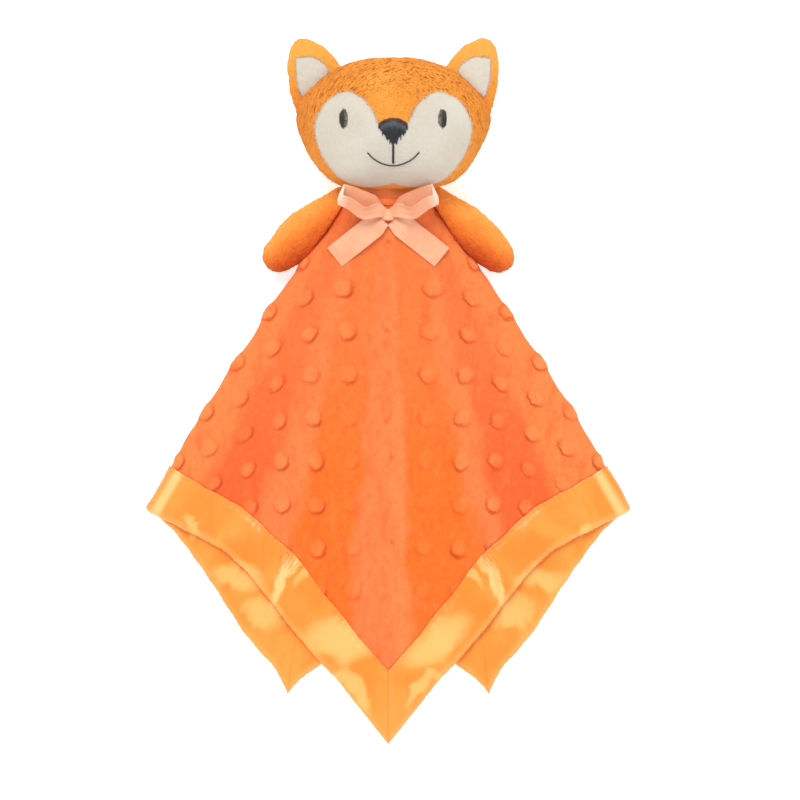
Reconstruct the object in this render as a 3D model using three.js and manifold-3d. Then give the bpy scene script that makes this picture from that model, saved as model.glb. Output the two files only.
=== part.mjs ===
// A baby's comfort blanket: a square of dotted plush cloth with a satin border, gathered
// at its centre under a small stuffed fox head with two arms and a ribbon bow.
// It lies on its back, with its face up (+Z) and its head towards +Y.
// Each piece is placed from the gather ring, the oval where the cloth meets the neck.
// Lengths are in millimetres and angles in degrees.

import * as THREE from 'three';
import { mergeVertices } from 'three/addons/utils/BufferGeometryUtils.js';
import Module from 'manifold-3d';

const wasm = await Module();
wasm.setup();

// Fits
const seatGap = 0.3;
const flatCut = 0.5;
const overrun = 5;

// Blanket cloth
const blanketSide = 400;
const plyThickness = 0.9;
const satinThickness = 0.5;
const bindingWidth = 23.5;
const gatherRadius = 16;
const layerGap = 0.5;
const rippleHeight = 5.5;
const sideSwell = 2;
const morphLength = 66;

// How the cloth lies: the turn from a cloth direction to a lay direction
const sideFoldAngle = 32.3;
const sideCornerAngle = 7.8;
const innerFoldAngle = 4;
const backFoldAngle = 31;

// Gather ring at the neck
const ringHalfWidth = 19;
const ringHalfHeight = 12;
const ringHeight = 17;

// Neck
const plushThickness = 1.6;
const neckRise = 4.6;
const neckDepth = 15;
const threadRadius = 0.5;
const threadDrop = 3;

// Head
const headHalfWidth = 47.2;
const headHalfHeight = 33.3;
const headHalfDepth = 27;
const headOffset = 2.5;
const muzzleBulge = 3;

// Ears
const earHalfThickness = 4.5;
const earInnerThickness = 1;

// Arms
const armLength = 46;
const armHalfWidth = 11.4;
const armHalfHeight = 11.2;

// Embroidery
const embroideryThickness = 0.6;
const noseThickness = 1.2;
const eyeLength = 9;
const eyeWidth = 4.4;
const mouthLine = 1;

// Ribbon bow
const ribbonWidth = 12;
const ribbonThickness = 0.5;
const loopLength = 25.8;
const loopOpening = 5.4;
const tailLength = 34;
const knotWidth = 5.6;
const knotLength = 6.2;
const knotDepth = 3.4;

const colours = {
  minky: new THREE.Color(1.0, 0.36, 0.1),
  lining: new THREE.Color(1.0, 0.38, 0.14),
  satin: new THREE.Color(1.0, 0.5, 0.1),
  plush: new THREE.Color(0.85, 0.35, 0.05),
  white: new THREE.Color(0.88, 0.83, 0.76),
  thread: new THREE.Color(0.05, 0.05, 0.05),
  ribbon: new THREE.Color(0.98, 0.55, 0.35),
  filling: new THREE.Color(0.95, 0.95, 0.95),
};
const roughness = { minky: 0.9, lining: 0.85, satin: 0.35, plush: 0.95, white: 0.95,
  thread: 0.6, ribbon: 0.3, filling: 1 };

const radians = THREE.MathUtils.degToRad;
const part = new THREE.Group();

function addPiece(name, geometry, finish) {
  const material = new THREE.MeshStandardMaterial({
    color: colours[finish],
    roughness: roughness[finish],
    metalness: 0,
  });
  const mesh = new THREE.Mesh(geometry, material);
  mesh.name = name;
  part.add(mesh);
}

// Solids

function indexedGeometry(points, triangles) {
  const geometry = new THREE.BufferGeometry();
  const values = points.flatMap((point) => [point.x, point.y, point.z]);
  geometry.setAttribute('position', new THREE.Float32BufferAttribute(values, 3));
  geometry.setIndex(triangles);
  return geometry;
}

function toSolid(geometry) {
  const bare = geometry.clone();
  bare.deleteAttribute('normal');
  bare.deleteAttribute('uv');
  const merged = mergeVertices(bare);
  return new wasm.Manifold(new wasm.Mesh({
    numProp: 3,
    vertProperties: new Float32Array(merged.attributes.position.array),
    triVerts: new Uint32Array(merged.index.array),
  }));
}

function toGeometry(solid) {
  const mesh = solid.getMesh();
  const geometry = new THREE.BufferGeometry();
  geometry.setAttribute('position', new THREE.BufferAttribute(mesh.vertProperties, 3));
  geometry.setIndex(new THREE.BufferAttribute(mesh.triVerts, 1));
  return geometry;
}

// A closed skin through rings of equal count, closed at both ends by a pole.
function loftedSkin(rings, firstPole, lastPole) {
  const count = rings[0].length;
  const points = rings.flat();
  const triangles = [];
  for (let ring = 0; ring + 1 < rings.length; ring += 1) {
    for (let side = 0; side < count; side += 1) {
      const next = (side + 1) % count;
      const low = ring * count;
      const high = low + count;
      triangles.push(low + side, low + next, high + next);
      triangles.push(low + side, high + next, high + side);
    }
  }
  const first = points.push(firstPole) - 1;
  const last = points.push(lastPole) - 1;
  const top = (rings.length - 1) * count;
  for (let side = 0; side < count; side += 1) {
    const next = (side + 1) % count;
    triangles.push(first, next, side);
    triangles.push(last, top + side, top + next);
  }
  return indexedGeometry(points, triangles);
}

function prism(outline, bottom, top) {
  const geometry = new THREE.ExtrudeGeometry(new THREE.Shape(outline), {
    depth: top - bottom,
    bevelEnabled: false,
  });
  geometry.translate(0, 0, bottom);
  return toSolid(geometry);
}

// Moves each point of a closed outline outwards, square to its neighbours.
function grownOutline(outline, distance) {
  const turn = Math.sign(THREE.ShapeUtils.area(outline));
  return outline.map((point, index) => {
    const before = outline.at(index - 1);
    const after = outline[(index + 1) % outline.length];
    const run = after.clone().sub(before).normalize();
    return new THREE.Vector2(point.x + turn * run.y * distance, point.y - turn * run.x * distance);
  });
}

// A block that takes away what lies below the given height.
function groundBlock(height) {
  const reach = blanketSide + headHalfHeight;
  const block = new THREE.BoxGeometry(reach, reach, reach);
  block.translate(0, 0, height - reach / 2);
  return toSolid(block);
}

// Blanket cloth
// A station is one line on the cloth, straight out from its centre. clothAngle is its
// direction on the flat cloth, from the front corner. layAngle is the direction in which
// it lies, from -Y. level counts the layers down from the front one, and bulge is how far
// round a fold it is, outwards.

const sectorAngle = 90;
const halfSector = sectorAngle / 2;
const backCorner = 2 * sectorAngle;
const layers = 4;
const rippleCrests = [0, 18.6, 41];
const clothAngleOf = {
  sideFold: halfSector,
  innerFold: 98,
  backFold: 138,
};
const foldSpread = 1.8;

// Cloth that wrinkles take up, or that the front corner is pulled out by, as shares of
// the reach at a cloth angle.
const takeUps = [
  { at: 0, spread: 6, share: -0.019 },
  { at: 26, spread: 9, share: 0.03 },
  { at: halfSector, spread: 5, share: 0.005 },
  { at: sectorAngle, spread: 10, share: 0.066 },
];
const counts = { front: 10, second: 5, corner: 2, third: 3, fourth: 4, sideFold: 4, fold: 3 };

const stackStep = 2 * (plyThickness + satinThickness) + 3 * seatGap + layerGap;
const clothHalf = plyThickness + seatGap / 2;
const bindingHalf = clothHalf + seatGap + satinThickness;

function foldStations(clothAngle, layAngle, level, turn, steps) {
  const stations = [];
  for (let step = 0; step <= steps; step += 1) {
    const along = (2 * step) / steps - 1;
    stations.push({
      clothAngle: clothAngle + foldSpread * along,
      layAngle,
      level: level + (1 + Math.sin(radians(sectorAngle * along))) / 2,
      bulge: turn * Math.cos(radians(sectorAngle * along)),
    });
  }
  return stations;
}

function layerStations(from, to, level, steps) {
  const stations = [];
  for (let step = 1; step < steps; step += 1) {
    const share = step / steps;
    stations.push({
      clothAngle: THREE.MathUtils.lerp(from.clothAngle, to.clothAngle, share),
      layAngle: THREE.MathUtils.lerp(from.layAngle, to.layAngle, share),
      level,
      bulge: 0,
    });
  }
  return stations;
}

function halfStations() {
  const start = { clothAngle: 0, layAngle: 0, level: 1, bulge: 0 };
  const corner = { clothAngle: sectorAngle, layAngle: sideCornerAngle, level: 2, bulge: 0 };
  const end = { clothAngle: backCorner, layAngle: 0, level: layers, bulge: 0 };
  const sideFold = foldStations(clothAngleOf.sideFold, sideFoldAngle, 1, 1, counts.sideFold);
  const innerFold = foldStations(clothAngleOf.innerFold, innerFoldAngle, 2, -1, counts.fold);
  const backFold = foldStations(clothAngleOf.backFold, backFoldAngle, 3, 1, counts.fold);
  return [
    start,
    ...layerStations(start, sideFold[0], 1, counts.front),
    ...sideFold,
    ...layerStations(sideFold.at(-1), corner, 2, counts.second),
    corner,
    ...layerStations(corner, innerFold[0], 2, counts.corner),
    ...innerFold,
    ...layerStations(innerFold.at(-1), backFold[0], 3, counts.third),
    ...backFold,
    ...layerStations(backFold.at(-1), end, layers, counts.fourth),
    end,
  ];
}

const rightStations = halfStations();
const backMiddle = rightStations.length - 1;
const stations = [
  ...rightStations.map((station) => ({ ...station, side: 1 })),
  ...rightStations.slice(1, -1).reverse().map((station) => ({ ...station, side: -1 })),
];

// The angle between a station and the line from the cloth's centre square to its hem.
function slantOf(station) {
  return radians((station.clothAngle % sectorAngle) - halfSector);
}

// The laid length from the gather ring to the hem, along a station.
function hemReach(station) {
  const flatReach = blanketSide / 2 / Math.cos(slantOf(station)) - gatherRadius;
  const taken = takeUps.reduce((sum, { at, spread, share }) => (
    sum + share * Math.exp(-(((station.clothAngle - at) / spread) ** 2))), 0);
  return flatReach * (1 - taken);
}

// The place along a station that is the given width in from the hem.
function fromHem(station, width) {
  return hemReach(station) - width / Math.cos(slantOf(station));
}

// Ripples of the front: crests that grow away from the neck.
function rippleShare(layAngle) {
  const angle = (layAngle * halfSector) / sideFoldAngle;
  const outer = angle > rippleCrests[1] ? 1 : 0;
  const width = rippleCrests[outer + 1] - rippleCrests[outer];
  const phase = (angle - rippleCrests[outer]) / width;
  return (1 + Math.cos(2 * Math.PI * phase)) / 2;
}

const liftStart = (bindingWidth * 4) / 3;

function layerHeight(station, level, reach) {
  const upper = bindingHalf + stackStep * (layers - level);
  const ripple = rippleHeight * rippleShare(station.layAngle) * (reach / hemReach(station));
  const lift = THREE.MathUtils.smoothstep(reach, fromHem(station, liftStart), fromHem(station, bindingWidth));
  const drop = Math.max(0, level + 1 - layers) * (bindingHalf - clothHalf) * (1 - lift);
  const levelShare = ((layers - level) / (layers - 1)) ** layers;
  return upper - drop + ripple * levelShare;
}

function clothPoint(station, reach) {
  const past = Math.max(0, station.clothAngle - halfSector) / (backCorner - halfSector);
  const around = Math.min(1, station.clothAngle / halfSector) + past;
  const ringAngle = radians(sectorAngle * around);
  const lay = radians(station.layAngle);
  const morph = THREE.MathUtils.smoothstep(reach, 0, morphLength);
  const whole = Math.floor(Math.min(station.level, layers - 1));
  const upper = layerHeight(station, whole, reach);
  const lower = layerHeight(station, whole + 1, reach);
  const foldRadius = (upper - lower) / 2;
  const sunk = station.level - whole;
  const flatHeight = THREE.MathUtils.lerp(upper, lower, sunk);
  const bulge = morph * foldRadius * station.bulge;
  const swell = sideSwell * Math.sin((Math.PI * reach) / hemReach(station))
    * (station.layAngle / sideFoldAngle) ** 2;
  const x = ringHalfWidth * Math.sin(ringAngle) + reach * Math.sin(lay)
    + (bulge + swell) * Math.cos(lay);
  const y = -reach * Math.cos(lay) + bulge * Math.sin(lay);
  const ringZ = ringHeight + ringHalfHeight * Math.cos(ringAngle);
  return new THREE.Vector3(station.side * x, y, THREE.MathUtils.lerp(ringZ, flatHeight, morph));
}

// The normal of the cloth at a station, on its outer, dotted side.
function clothNormal(index, reach) {
  const before = stations[(index + stations.length - 1) % stations.length];
  const after = stations[(index + 1) % stations.length];
  const here = stations[index];
  const share = reach / hemReach(here);
  const around = clothPoint(after, share * hemReach(after))
    .sub(clothPoint(before, share * hemReach(before)));
  const step = hemReach(here) / 100;
  const outwards = clothPoint(here, reach + step).sub(clothPoint(here, Math.max(0, reach - step)));
  return around.cross(outwards).normalize().negate();
}

function clothOffset(index, reach, offset) {
  return clothPoint(stations[index], reach).addScaledVector(clothNormal(index, reach), offset);
}

// Places along a station, from the ring to the ply's edge inside the binding.
const morphShares = [0, 0.2, 0.55, 1];

function plyRows(station) {
  const hemInsets = [liftStart, bindingWidth, satinThickness + seatGap];
  return [...morphShares.map((share) => share * morphLength),
    ...hemInsets.map((inset) => fromHem(station, inset))];
}

// Two triangles for the face a, b, d, c, cut from a to d or else from b to c.
function faceTriangles(a, b, c, d, cutFromFirst) {
  return cutFromFirst ? [[a, b, d], [a, d, c]] : [[a, b, c], [b, d, c]];
}

// Rows of points that close on themselves. The cuts of the first columns mirror the rest.
function gridTriangles(rowCount, columnCount, first, mirroredColumns) {
  const triangles = [];
  for (let row = 0; row + 1 < rowCount; row += 1) {
    for (let column = 0; column < columnCount; column += 1) {
      const low = first + row * columnCount;
      const [a, b] = [low + column, low + ((column + 1) % columnCount)];
      triangles.push(...faceTriangles(a, b, a + columnCount, b + columnCount, column >= mirroredColumns));
    }
  }
  return triangles;
}

// One ply of cloth between two offsets from the middle of the two plies.
function clothPly(inner, outer) {
  const count = stations.length;
  const rows = stations.map(plyRows);
  const rowCount = rows[0].length;
  const points = [];
  for (const offset of [outer, inner]) {
    for (let row = 0; row < rowCount; row += 1) {
      for (let index = 0; index < count; index += 1) {
        points.push(clothOffset(index, rows[index][row], offset));
      }
    }
  }
  const lower = rowCount * count;
  const triangles = gridTriangles(rowCount, count, 0, backMiddle);
  gridTriangles(rowCount, count, lower, backMiddle).forEach(([a, b, c]) => triangles.push([a, c, b]));
  for (let index = 0; index < count; index += 1) {
    const next = (index + 1) % count;
    const hem = (rowCount - 1) * count;
    triangles.push([index, index + lower, next + lower], [index, next + lower, next]);
    triangles.push([hem + index, hem + next, hem + next + lower]);
    triangles.push([hem + index, hem + next + lower, hem + index + lower]);
  }
  return indexedGeometry(points, outwardFacing(points, triangles).flat());
}

// Turns all triangles round if they enclose a negative volume.
function outwardFacing(points, triangles) {
  const volume = triangles.reduce((sum, [a, b, c]) => {
    const cross = new THREE.Vector3().crossVectors(points[b], points[c]);
    return sum + points[a].dot(cross);
  }, 0);
  return volume > 0 ? triangles : triangles.map(([a, b, c]) => [a, c, b]);
}

// Satin binding: a ribbon folded round the hem, from one cloth corner to the next.
const innerHalf = clothHalf + seatGap;
const section = [
  { inset: bindingWidth, offset: innerHalf },
  { inset: bindingWidth, offset: bindingHalf },
  { inset: 0, offset: bindingHalf },
  { inset: 0, offset: -bindingHalf },
  { inset: bindingWidth, offset: -bindingHalf },
  { inset: bindingWidth, offset: -innerHalf },
  { inset: satinThickness, offset: -innerHalf },
  { inset: satinThickness, offset: innerHalf },
];

function bindingSection(index, along, towards) {
  return section.map(({ inset, offset }) => {
    const point = clothOffset(index, fromHem(stations[index], inset), offset);
    const neighbour = clothOffset(towards, fromHem(stations[towards], inset), offset);
    return point.addScaledVector(neighbour.sub(point).normalize(), along);
  });
}

function binding(from, to) {
  const indexes = [];
  for (let index = from; index <= to; index += 1) {
    indexes.push(index % stations.length);
  }
  const last = indexes.length - 1;
  const sections = indexes.map((index, place) => {
    const towards = place === 0 ? indexes[1] : indexes[place - 1];
    const mitred = place === 0 || place === last;
    return bindingSection(index, mitred ? seatGap / 2 : 0, towards);
  });
  const count = sections[0].length;
  const points = sections.flat();
  const triangles = [];
  for (let place = 0; place < last; place += 1) {
    for (let side = 0; side < count; side += 1) {
      const [a, b] = [side, (side + 1) % count].map((corner) => corner + place * count);
      const towardsRing = section[(side + 1) % count].inset > section[side].inset;
      const onRight = from < backMiddle;
      triangles.push(...faceTriangles(a, b, a + count, b + count, towardsRing === onRight));
    }
  }
  const capTriangles = [[0, 1, 2], [0, 2, 7], [7, 2, 3], [7, 3, 6], [6, 3, 4], [6, 4, 5]];
  for (const [a, b, c] of capTriangles) {
    const end = last * count;
    triangles.push([a, c, b], [end + a, end + b, end + c]);
  }
  return indexedGeometry(points, outwardFacing(points, triangles).flat());
}

function nearestStation(clothAngle) {
  const gaps = rightStations.map((station) => Math.abs(station.clothAngle - clothAngle));
  return gaps.indexOf(Math.min(...gaps));
}

const sideCorner = nearestStation(sectorAngle);
const wholeTurn = stations.length;

addPiece('blanket_minky_face', clothPly(seatGap / 2, clothHalf), 'minky');
addPiece('blanket_lining', clothPly(-clothHalf, -seatGap / 2), 'lining');
addPiece('binding_front_right', binding(0, sideCorner), 'satin');
addPiece('binding_back_right', binding(sideCorner, backMiddle), 'satin');
addPiece('binding_back_left', binding(backMiddle, wholeTurn - sideCorner), 'satin');
addPiece('binding_front_left', binding(wholeTurn - sideCorner, wholeTurn), 'satin');

// Head
// The outline is wider at the top than at the chin. Places on the face are shares of the
// half width and half height, from the middle of the head.

const headCentre = new THREE.Vector3(headOffset, neckRise + headHalfHeight, headHalfDepth - flatCut);
const headSides = 26;
const headRingCount = 5;
const chinTaperShare = 0.155;
const topRoundness = 2;
const bottomRoundness = 3.6;
const profileRoundness = 2.3;
const muzzleShare = { y: -0.34, width: 0.45, height: 0.42 };

function headOutline(angle) {
  const sine = Math.sin(angle);
  const cosine = Math.cos(angle);
  const roundness = sine > 0 ? topRoundness : bottomRoundness;
  const yShare = Math.sign(sine) * Math.abs(sine) ** (2 / roundness);
  const xShare = Math.sign(cosine) * Math.abs(cosine) ** (2 / roundness);
  return new THREE.Vector2(xShare * (1 + chinTaperShare * yShare), yShare);
}

// The head's form, grown by an offset on every side.
function headForm(offset, sides = headSides, ringCount = headRingCount) {
  const rings = [];
  const poles = [];
  for (const face of [-1, 1]) {
    poles.push(new THREE.Vector3(0, 0, face));
  }
  for (let ring = 1; ring < 2 * ringCount; ring += 1) {
    const tilt = (Math.PI * ring) / (2 * ringCount);
    const widthShare = Math.sin(tilt) ** (2 / profileRoundness);
    const depth = Math.cos(tilt);
    const depthShare = -Math.sign(depth) * Math.abs(depth) ** (2 / profileRoundness);
    rings.push(Array.from({ length: sides }, (_, side) => {
      const edge = headOutline((2 * Math.PI * side) / sides);
      return new THREE.Vector3(edge.x * widthShare, edge.y * widthShare, depthShare);
    }));
  }
  const place = (share) => {
    const x = share.x * (headHalfWidth + offset);
    const y = share.y * (headHalfHeight + offset);
    const z = share.z * (headHalfDepth + offset);
    const across = share.x / muzzleShare.width;
    const up = (share.y - muzzleShare.y) / muzzleShare.height;
    const bulge = muzzleBulge * Math.max(0, share.z) * Math.exp(-(across ** 2 + up ** 2));
    return new THREE.Vector3(x, y, z + bulge).add(headCentre);
  };
  return toSolid(loftedSkin(rings.map((ring) => ring.map(place)), place(poles[0]), place(poles[1])));
}

function onFace(xShare, yShare) {
  return new THREE.Vector2(headCentre.x + xShare * headHalfWidth, headCentre.y + yShare * headHalfHeight);
}

function faceOutline(shares, steps) {
  const halfPoints = shares.map(([x, y]) => new THREE.Vector3(x, y, 0));
  const curve = new THREE.CatmullRomCurve3(halfPoints, false, 'centripetal');
  const half = curve.getPoints(steps);
  const right = half.map((point) => onFace(point.x, point.y));
  const left = half.slice(1, -1).reverse().map((point) => onFace(-point.x, point.y));
  return [...right, ...left];
}

// Half of the white mask, from the nose out and down to the chin.
const maskShares = [[0, -0.2], [0.15, -0.06], [0.24, 0.2], [0.335, 0.34], [0.48, 0.43], [0.63, 0.34],
  [0.74, 0.16], [0.8, -0.12], [0.745, -0.46], [0.62, -0.7], [0.46, -0.88], [0.29, -0.965],
  [0.13, -0.965], [0, -0.91]];
const noseShares = [[0, -0.005], [0.1, -0.03], [0.15, -0.13], [0.11, -0.25], [0, -0.44]];
const maskSteps = 18;
const noseSteps = 10;
const faceTop = headCentre.z + headHalfDepth + muzzleBulge + overrun;
const seamHeight = headCentre.z;

const headSolid = headForm(0);
const headInside = headForm(-plushThickness);
const ground = groundBlock(0);
const headShell = headSolid.subtract(headInside).subtract(ground);
const maskOutline = faceOutline(maskShares, maskSteps);
const maskPrism = prism(maskOutline, seamHeight + seatGap, faceTop);
const maskOpening = grownOutline(maskOutline, seatGap);

const frontShell = headShell.subtract(groundBlock(seamHeight + seatGap / 2));
const openingPrism = prism(maskOpening, seamHeight - overrun, faceTop);
addPiece('head_front_panel', toGeometry(frontShell.subtract(openingPrism)), 'plush');
addPiece('face_mask', toGeometry(frontShell.intersect(maskPrism)), 'white');
const backBlock = prism(squareOutline(), seamHeight - seatGap / 2, faceTop);
addPiece('head_back_panel', toGeometry(headShell.subtract(backBlock)), 'plush');
const headStuffing = headForm(-plushThickness - 2 * seatGap, headSides / 2, headRingCount - 1)
  .subtract(groundBlock(plushThickness + seatGap));
addPiece('head_stuffing', toGeometry(headStuffing), 'filling');

// A square round the head, wider than any of its pieces.
function squareOutline() {
  const reach = headHalfWidth * 2;
  return [[-1, -1], [1, -1], [1, 1], [-1, 1]].map(([x, y]) => (
    new THREE.Vector2(headCentre.x + x * reach, headCentre.y + y * reach)));
}

// Embroidery: a thin raised layer of thread inside an outline on the face.
function embroidery(outline, thickness) {
  const layer = headForm(seatGap + thickness).subtract(headForm(seatGap));
  return toGeometry(layer.intersect(prism(outline, seamHeight, faceTop + thickness)));
}

const eyePlaceShare = { x: 0.515, y: 0.01 };
const eyeSides = 12;

function eyeOutline(side) {
  const centre = onFace(side * eyePlaceShare.x, eyePlaceShare.y);
  return Array.from({ length: eyeSides }, (_, step) => {
    const angle = (2 * Math.PI * step) / eyeSides;
    const x = (eyeWidth / 2) * Math.cos(angle) * Math.abs(Math.cos(angle)) ** 0.3;
    return new THREE.Vector2(centre.x + x, centre.y + (eyeLength / 2) * Math.sin(angle));
  });
}

addPiece('eye_left', embroidery(eyeOutline(-1), embroideryThickness), 'thread');
addPiece('eye_right', embroidery(eyeOutline(1), embroideryThickness), 'thread');
addPiece('nose', embroidery(faceOutline(noseShares, noseSteps), noseThickness), 'thread');

const smileShares = [[-0.27, -0.49], [-0.2, -0.59], [-0.1, -0.66], [0, -0.685], [0.1, -0.66],
  [0.2, -0.59], [0.27, -0.49]];
const smileSteps = 14;

function strokeOutline(middle, width) {
  const upper = middle.map((point) => new THREE.Vector2(point.x, point.y + width / 2));
  const lower = middle.map((point) => new THREE.Vector2(point.x, point.y - width / 2));
  return [...lower, ...upper.reverse()];
}

const smileCurve = new THREE.CatmullRomCurve3(smileShares.map(([x, y]) => new THREE.Vector3(x, y, 0)));
const smileMiddle = smileCurve.getPoints(smileSteps).map((point) => onFace(point.x, point.y));
const philtrumTop = onFace(0, noseShares.at(-1)[1]).y - seatGap;
const philtrumBottom = onFace(0, smileShares[3][1]).y + mouthLine / 2 + seatGap;
const philtrumOutline = [[-1, philtrumBottom], [1, philtrumBottom], [1, philtrumTop], [-1, philtrumTop]]
  .map(([side, y]) => new THREE.Vector2(headCentre.x + (side * mouthLine) / 2, y));
addPiece('mouth_smile', embroidery(strokeOutline(smileMiddle, mouthLine), embroideryThickness), 'thread');
addPiece('mouth_philtrum', embroidery(philtrumOutline, embroideryThickness), 'thread');

// Ears: flat stuffed points sewn into the seam round the head, with a white inner panel.

const earShares = [[0.7, 0.2], [1.0, 0.0], [1.045, 0.16], [1.095, 0.5], [1.115, 0.82], [1.09, 1.05],
  [1.03, 1.22], [0.93, 1.27], [0.81, 1.2], [0.7, 1.08], [0.56, 0.9], [0.5, 0.65]];
const earInnerShares = [[1.015, 0.92], [0.99, 0.965], [0.87, 0.975], [0.725, 0.81], [0.855, 0.6],
  [0.965, 0.435], [0.995, 0.5], [1.02, 0.7]];
const earSteps = 20;
const earRings = 3;
const earMiddleShare = [0.82, 0.62];

function closedOutline(shares, steps) {
  const curve = new THREE.CatmullRomCurve3(shares.map(([x, y]) => new THREE.Vector3(x, y, 0)), true);
  return curve.getPoints(steps).slice(0, steps).map((point) => onFace(point.x, point.y));
}

function cushionForm(outline, middle, height, halfThickness, offset, ringCount) {
  const rings = [];
  for (let ring = 1; ring < 2 * ringCount; ring += 1) {
    const tilt = (Math.PI * ring) / (2 * ringCount);
    const z = height - (halfThickness + offset) * Math.cos(tilt);
    rings.push(outline.map((edge) => {
      const spoke = edge.clone().sub(middle);
      const reach = (spoke.length() + offset) * Math.sin(tilt) ** 0.7;
      const point = spoke.setLength(reach).add(middle);
      return new THREE.Vector3(point.x, point.y, z);
    }));
  }
  const low = new THREE.Vector3(middle.x, middle.y, height - halfThickness - offset);
  const high = new THREE.Vector3(middle.x, middle.y, height + halfThickness + offset);
  return toSolid(loftedSkin(rings, low, high));
}

const earOutline = closedOutline(earShares, earSteps);
const earMiddle = onFace(...earMiddleShare);
const earForm = cushionForm(earOutline, earMiddle, seamHeight, earHalfThickness, 0, earRings)
  .subtract(headForm(seatGap));
const earCore = cushionForm(earOutline, earMiddle, seamHeight, earHalfThickness,
  -earInnerThickness, earRings);
const earPocket = cushionForm(earOutline, earMiddle, seamHeight, earHalfThickness,
  -earInnerThickness - seatGap, earRings);
const earPanelOutline = closedOutline(earInnerShares, earSteps);
const earPocketOutline = grownOutline(earPanelOutline, seatGap);

const earPanel = earForm.subtract(earCore).intersect(prism(earPanelOutline, seamHeight, faceTop));
const earCut = prism(earPocketOutline, seamHeight, faceTop).subtract(earPocket);
const earCover = earForm.subtract(earCut);

function mirrored(solid) {
  const geometry = toGeometry(solid);
  const position = geometry.attributes.position;
  for (let vertex = 0; vertex < position.count; vertex += 1) {
    position.setX(vertex, headCentre.x + headCentre.x - position.getX(vertex));
  }
  const index = geometry.index.array;
  for (let corner = 0; corner < index.length; corner += 3) {
    [index[corner + 1], index[corner + 2]] = [index[corner + 2], index[corner + 1]];
  }
  return geometry;
}

addPiece('ear_right_cover', toGeometry(earCover), 'plush');
addPiece('ear_right_inner', toGeometry(earPanel), 'white');
addPiece('ear_left_cover', mirrored(earCover), 'plush');
addPiece('ear_left_inner', mirrored(earPanel), 'white');

// A tapered stuffed form through oval rings, closed by a pole at each end. A row gives
// its place along the form and across it, and its half width and half height.
function stuffedForm(rows, frame, offset, sides) {
  const start = rows[0].along;
  const length = rows.at(-1).along - start;
  const placed = rows.map((row) => {
    const along = start + (row.along - start) * (1 + (2 * offset) / length) - offset;
    const centre = frame.root.clone()
      .addScaledVector(frame.along, along)
      .addScaledVector(frame.across, row.across);
    return { ...row, centre };
  });
  const rings = placed.slice(1, -1).map((row) => Array.from({ length: sides }, (_, side) => {
    const angle = (2 * Math.PI * side) / sides;
    const point = row.centre.clone();
    point.addScaledVector(frame.across, (row.halfWidth + offset) * Math.cos(angle));
    return point.setZ(row.centre.z + (row.halfHeight + offset) * Math.sin(angle));
  }));
  return toSolid(loftedSkin(rings, placed[0].centre, placed.at(-1).centre));
}

// Neck: a stuffed stub from the head's underside into the gathered cloth.

const neckFit = clothHalf + seatGap;
const neckHalfWidth = ringHalfWidth - neckFit;
const neckHalfHeight = ringHalfHeight - neckFit;
const neckSides = 16;
const neckTop = neckRise + headHalfHeight / 3;
const neckShares = [[1, 0.1], [0.94, 0.45], [0.72, 0.72], [0.4, 0.9], [0, 1]];

function neckForm(offset, sides = neckSides) {
  const row = (along, sizeShare) => ({
    along,
    across: 0,
    halfWidth: neckHalfWidth * sizeShare,
    halfHeight: neckHalfHeight * sizeShare,
  });
  const rows = neckShares.map(([depthShare, sizeShare]) => row(-neckDepth * depthShare, sizeShare));
  const frame = {
    root: new THREE.Vector3(0, 0, ringHeight),
    along: new THREE.Vector3(0, 1, 0),
    across: new THREE.Vector3(-1, 0, 0),
  };
  return stuffedForm([row(-neckDepth, 0), ...rows.slice(1), row(neckTop, 1), row(neckTop + seatGap, 0)],
    frame, offset, sides);
}

const neckRoom = headForm(seatGap);
const neckCover = neckForm(0).subtract(neckRoom).subtract(neckForm(-plushThickness));
addPiece('neck_cover', toGeometry(neckCover), 'plush');
const neckStuffing = neckForm(-plushThickness - seatGap, neckSides / 2).subtract(neckRoom);
addPiece('neck_stuffing', toGeometry(neckStuffing), 'filling');

// Gathering thread: a ring drawn tight round the cloth, just below the neck.
const threadSides = 5;
const threadSlack = 1.3;
const threadSteps = 28;

function threadRing() {
  const clearance = clothHalf + threadSlack * seatGap + threadRadius;
  const points = [];
  for (let index = 0; index < stations.length; index += 1) {
    const point = clothOffset(index, threadDrop, clearance);
    if (points.length === 0 || point.distanceTo(points.at(-1)) > ringHalfHeight / 4) {
      points.push(point);
    }
  }
  const section = new THREE.Shape(Array.from({ length: threadSides }, (_, side) => {
    const angle = (2 * Math.PI * side) / threadSides;
    return new THREE.Vector2(threadRadius * Math.cos(angle), threadRadius * Math.sin(angle));
  }));
  return new THREE.ExtrudeGeometry(section, {
    steps: threadSteps,
    extrudePath: new THREE.CatmullRomCurve3(points, true),
    bevelEnabled: false,
  });
}

addPiece('neck_gather_thread', threadRing(), 'minky');

// Arms: tapered stuffed forms that lie on either side of the blanket's shoulders.

const armSides = 12;
const armShares = [
  { along: -0.3, across: 0, size: 0 },
  { along: -0.27, across: 0, size: 0.55 },
  { along: -0.2, across: 0, size: 0.8 },
  { along: 0, across: 0, size: 1 },
  { along: 0.37, across: 0.035, size: 1.03 },
  { along: 0.6, across: 0.03, size: 0.9 },
  { along: 0.8, across: 0.01, size: 0.7 },
  { along: 0.9, across: 0, size: 0.47 },
  { along: 0.97, across: 0, size: 0 },
];
const armAngle = 36;
const armRootShare = { x: 1.32, y: -0.36 };

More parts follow.
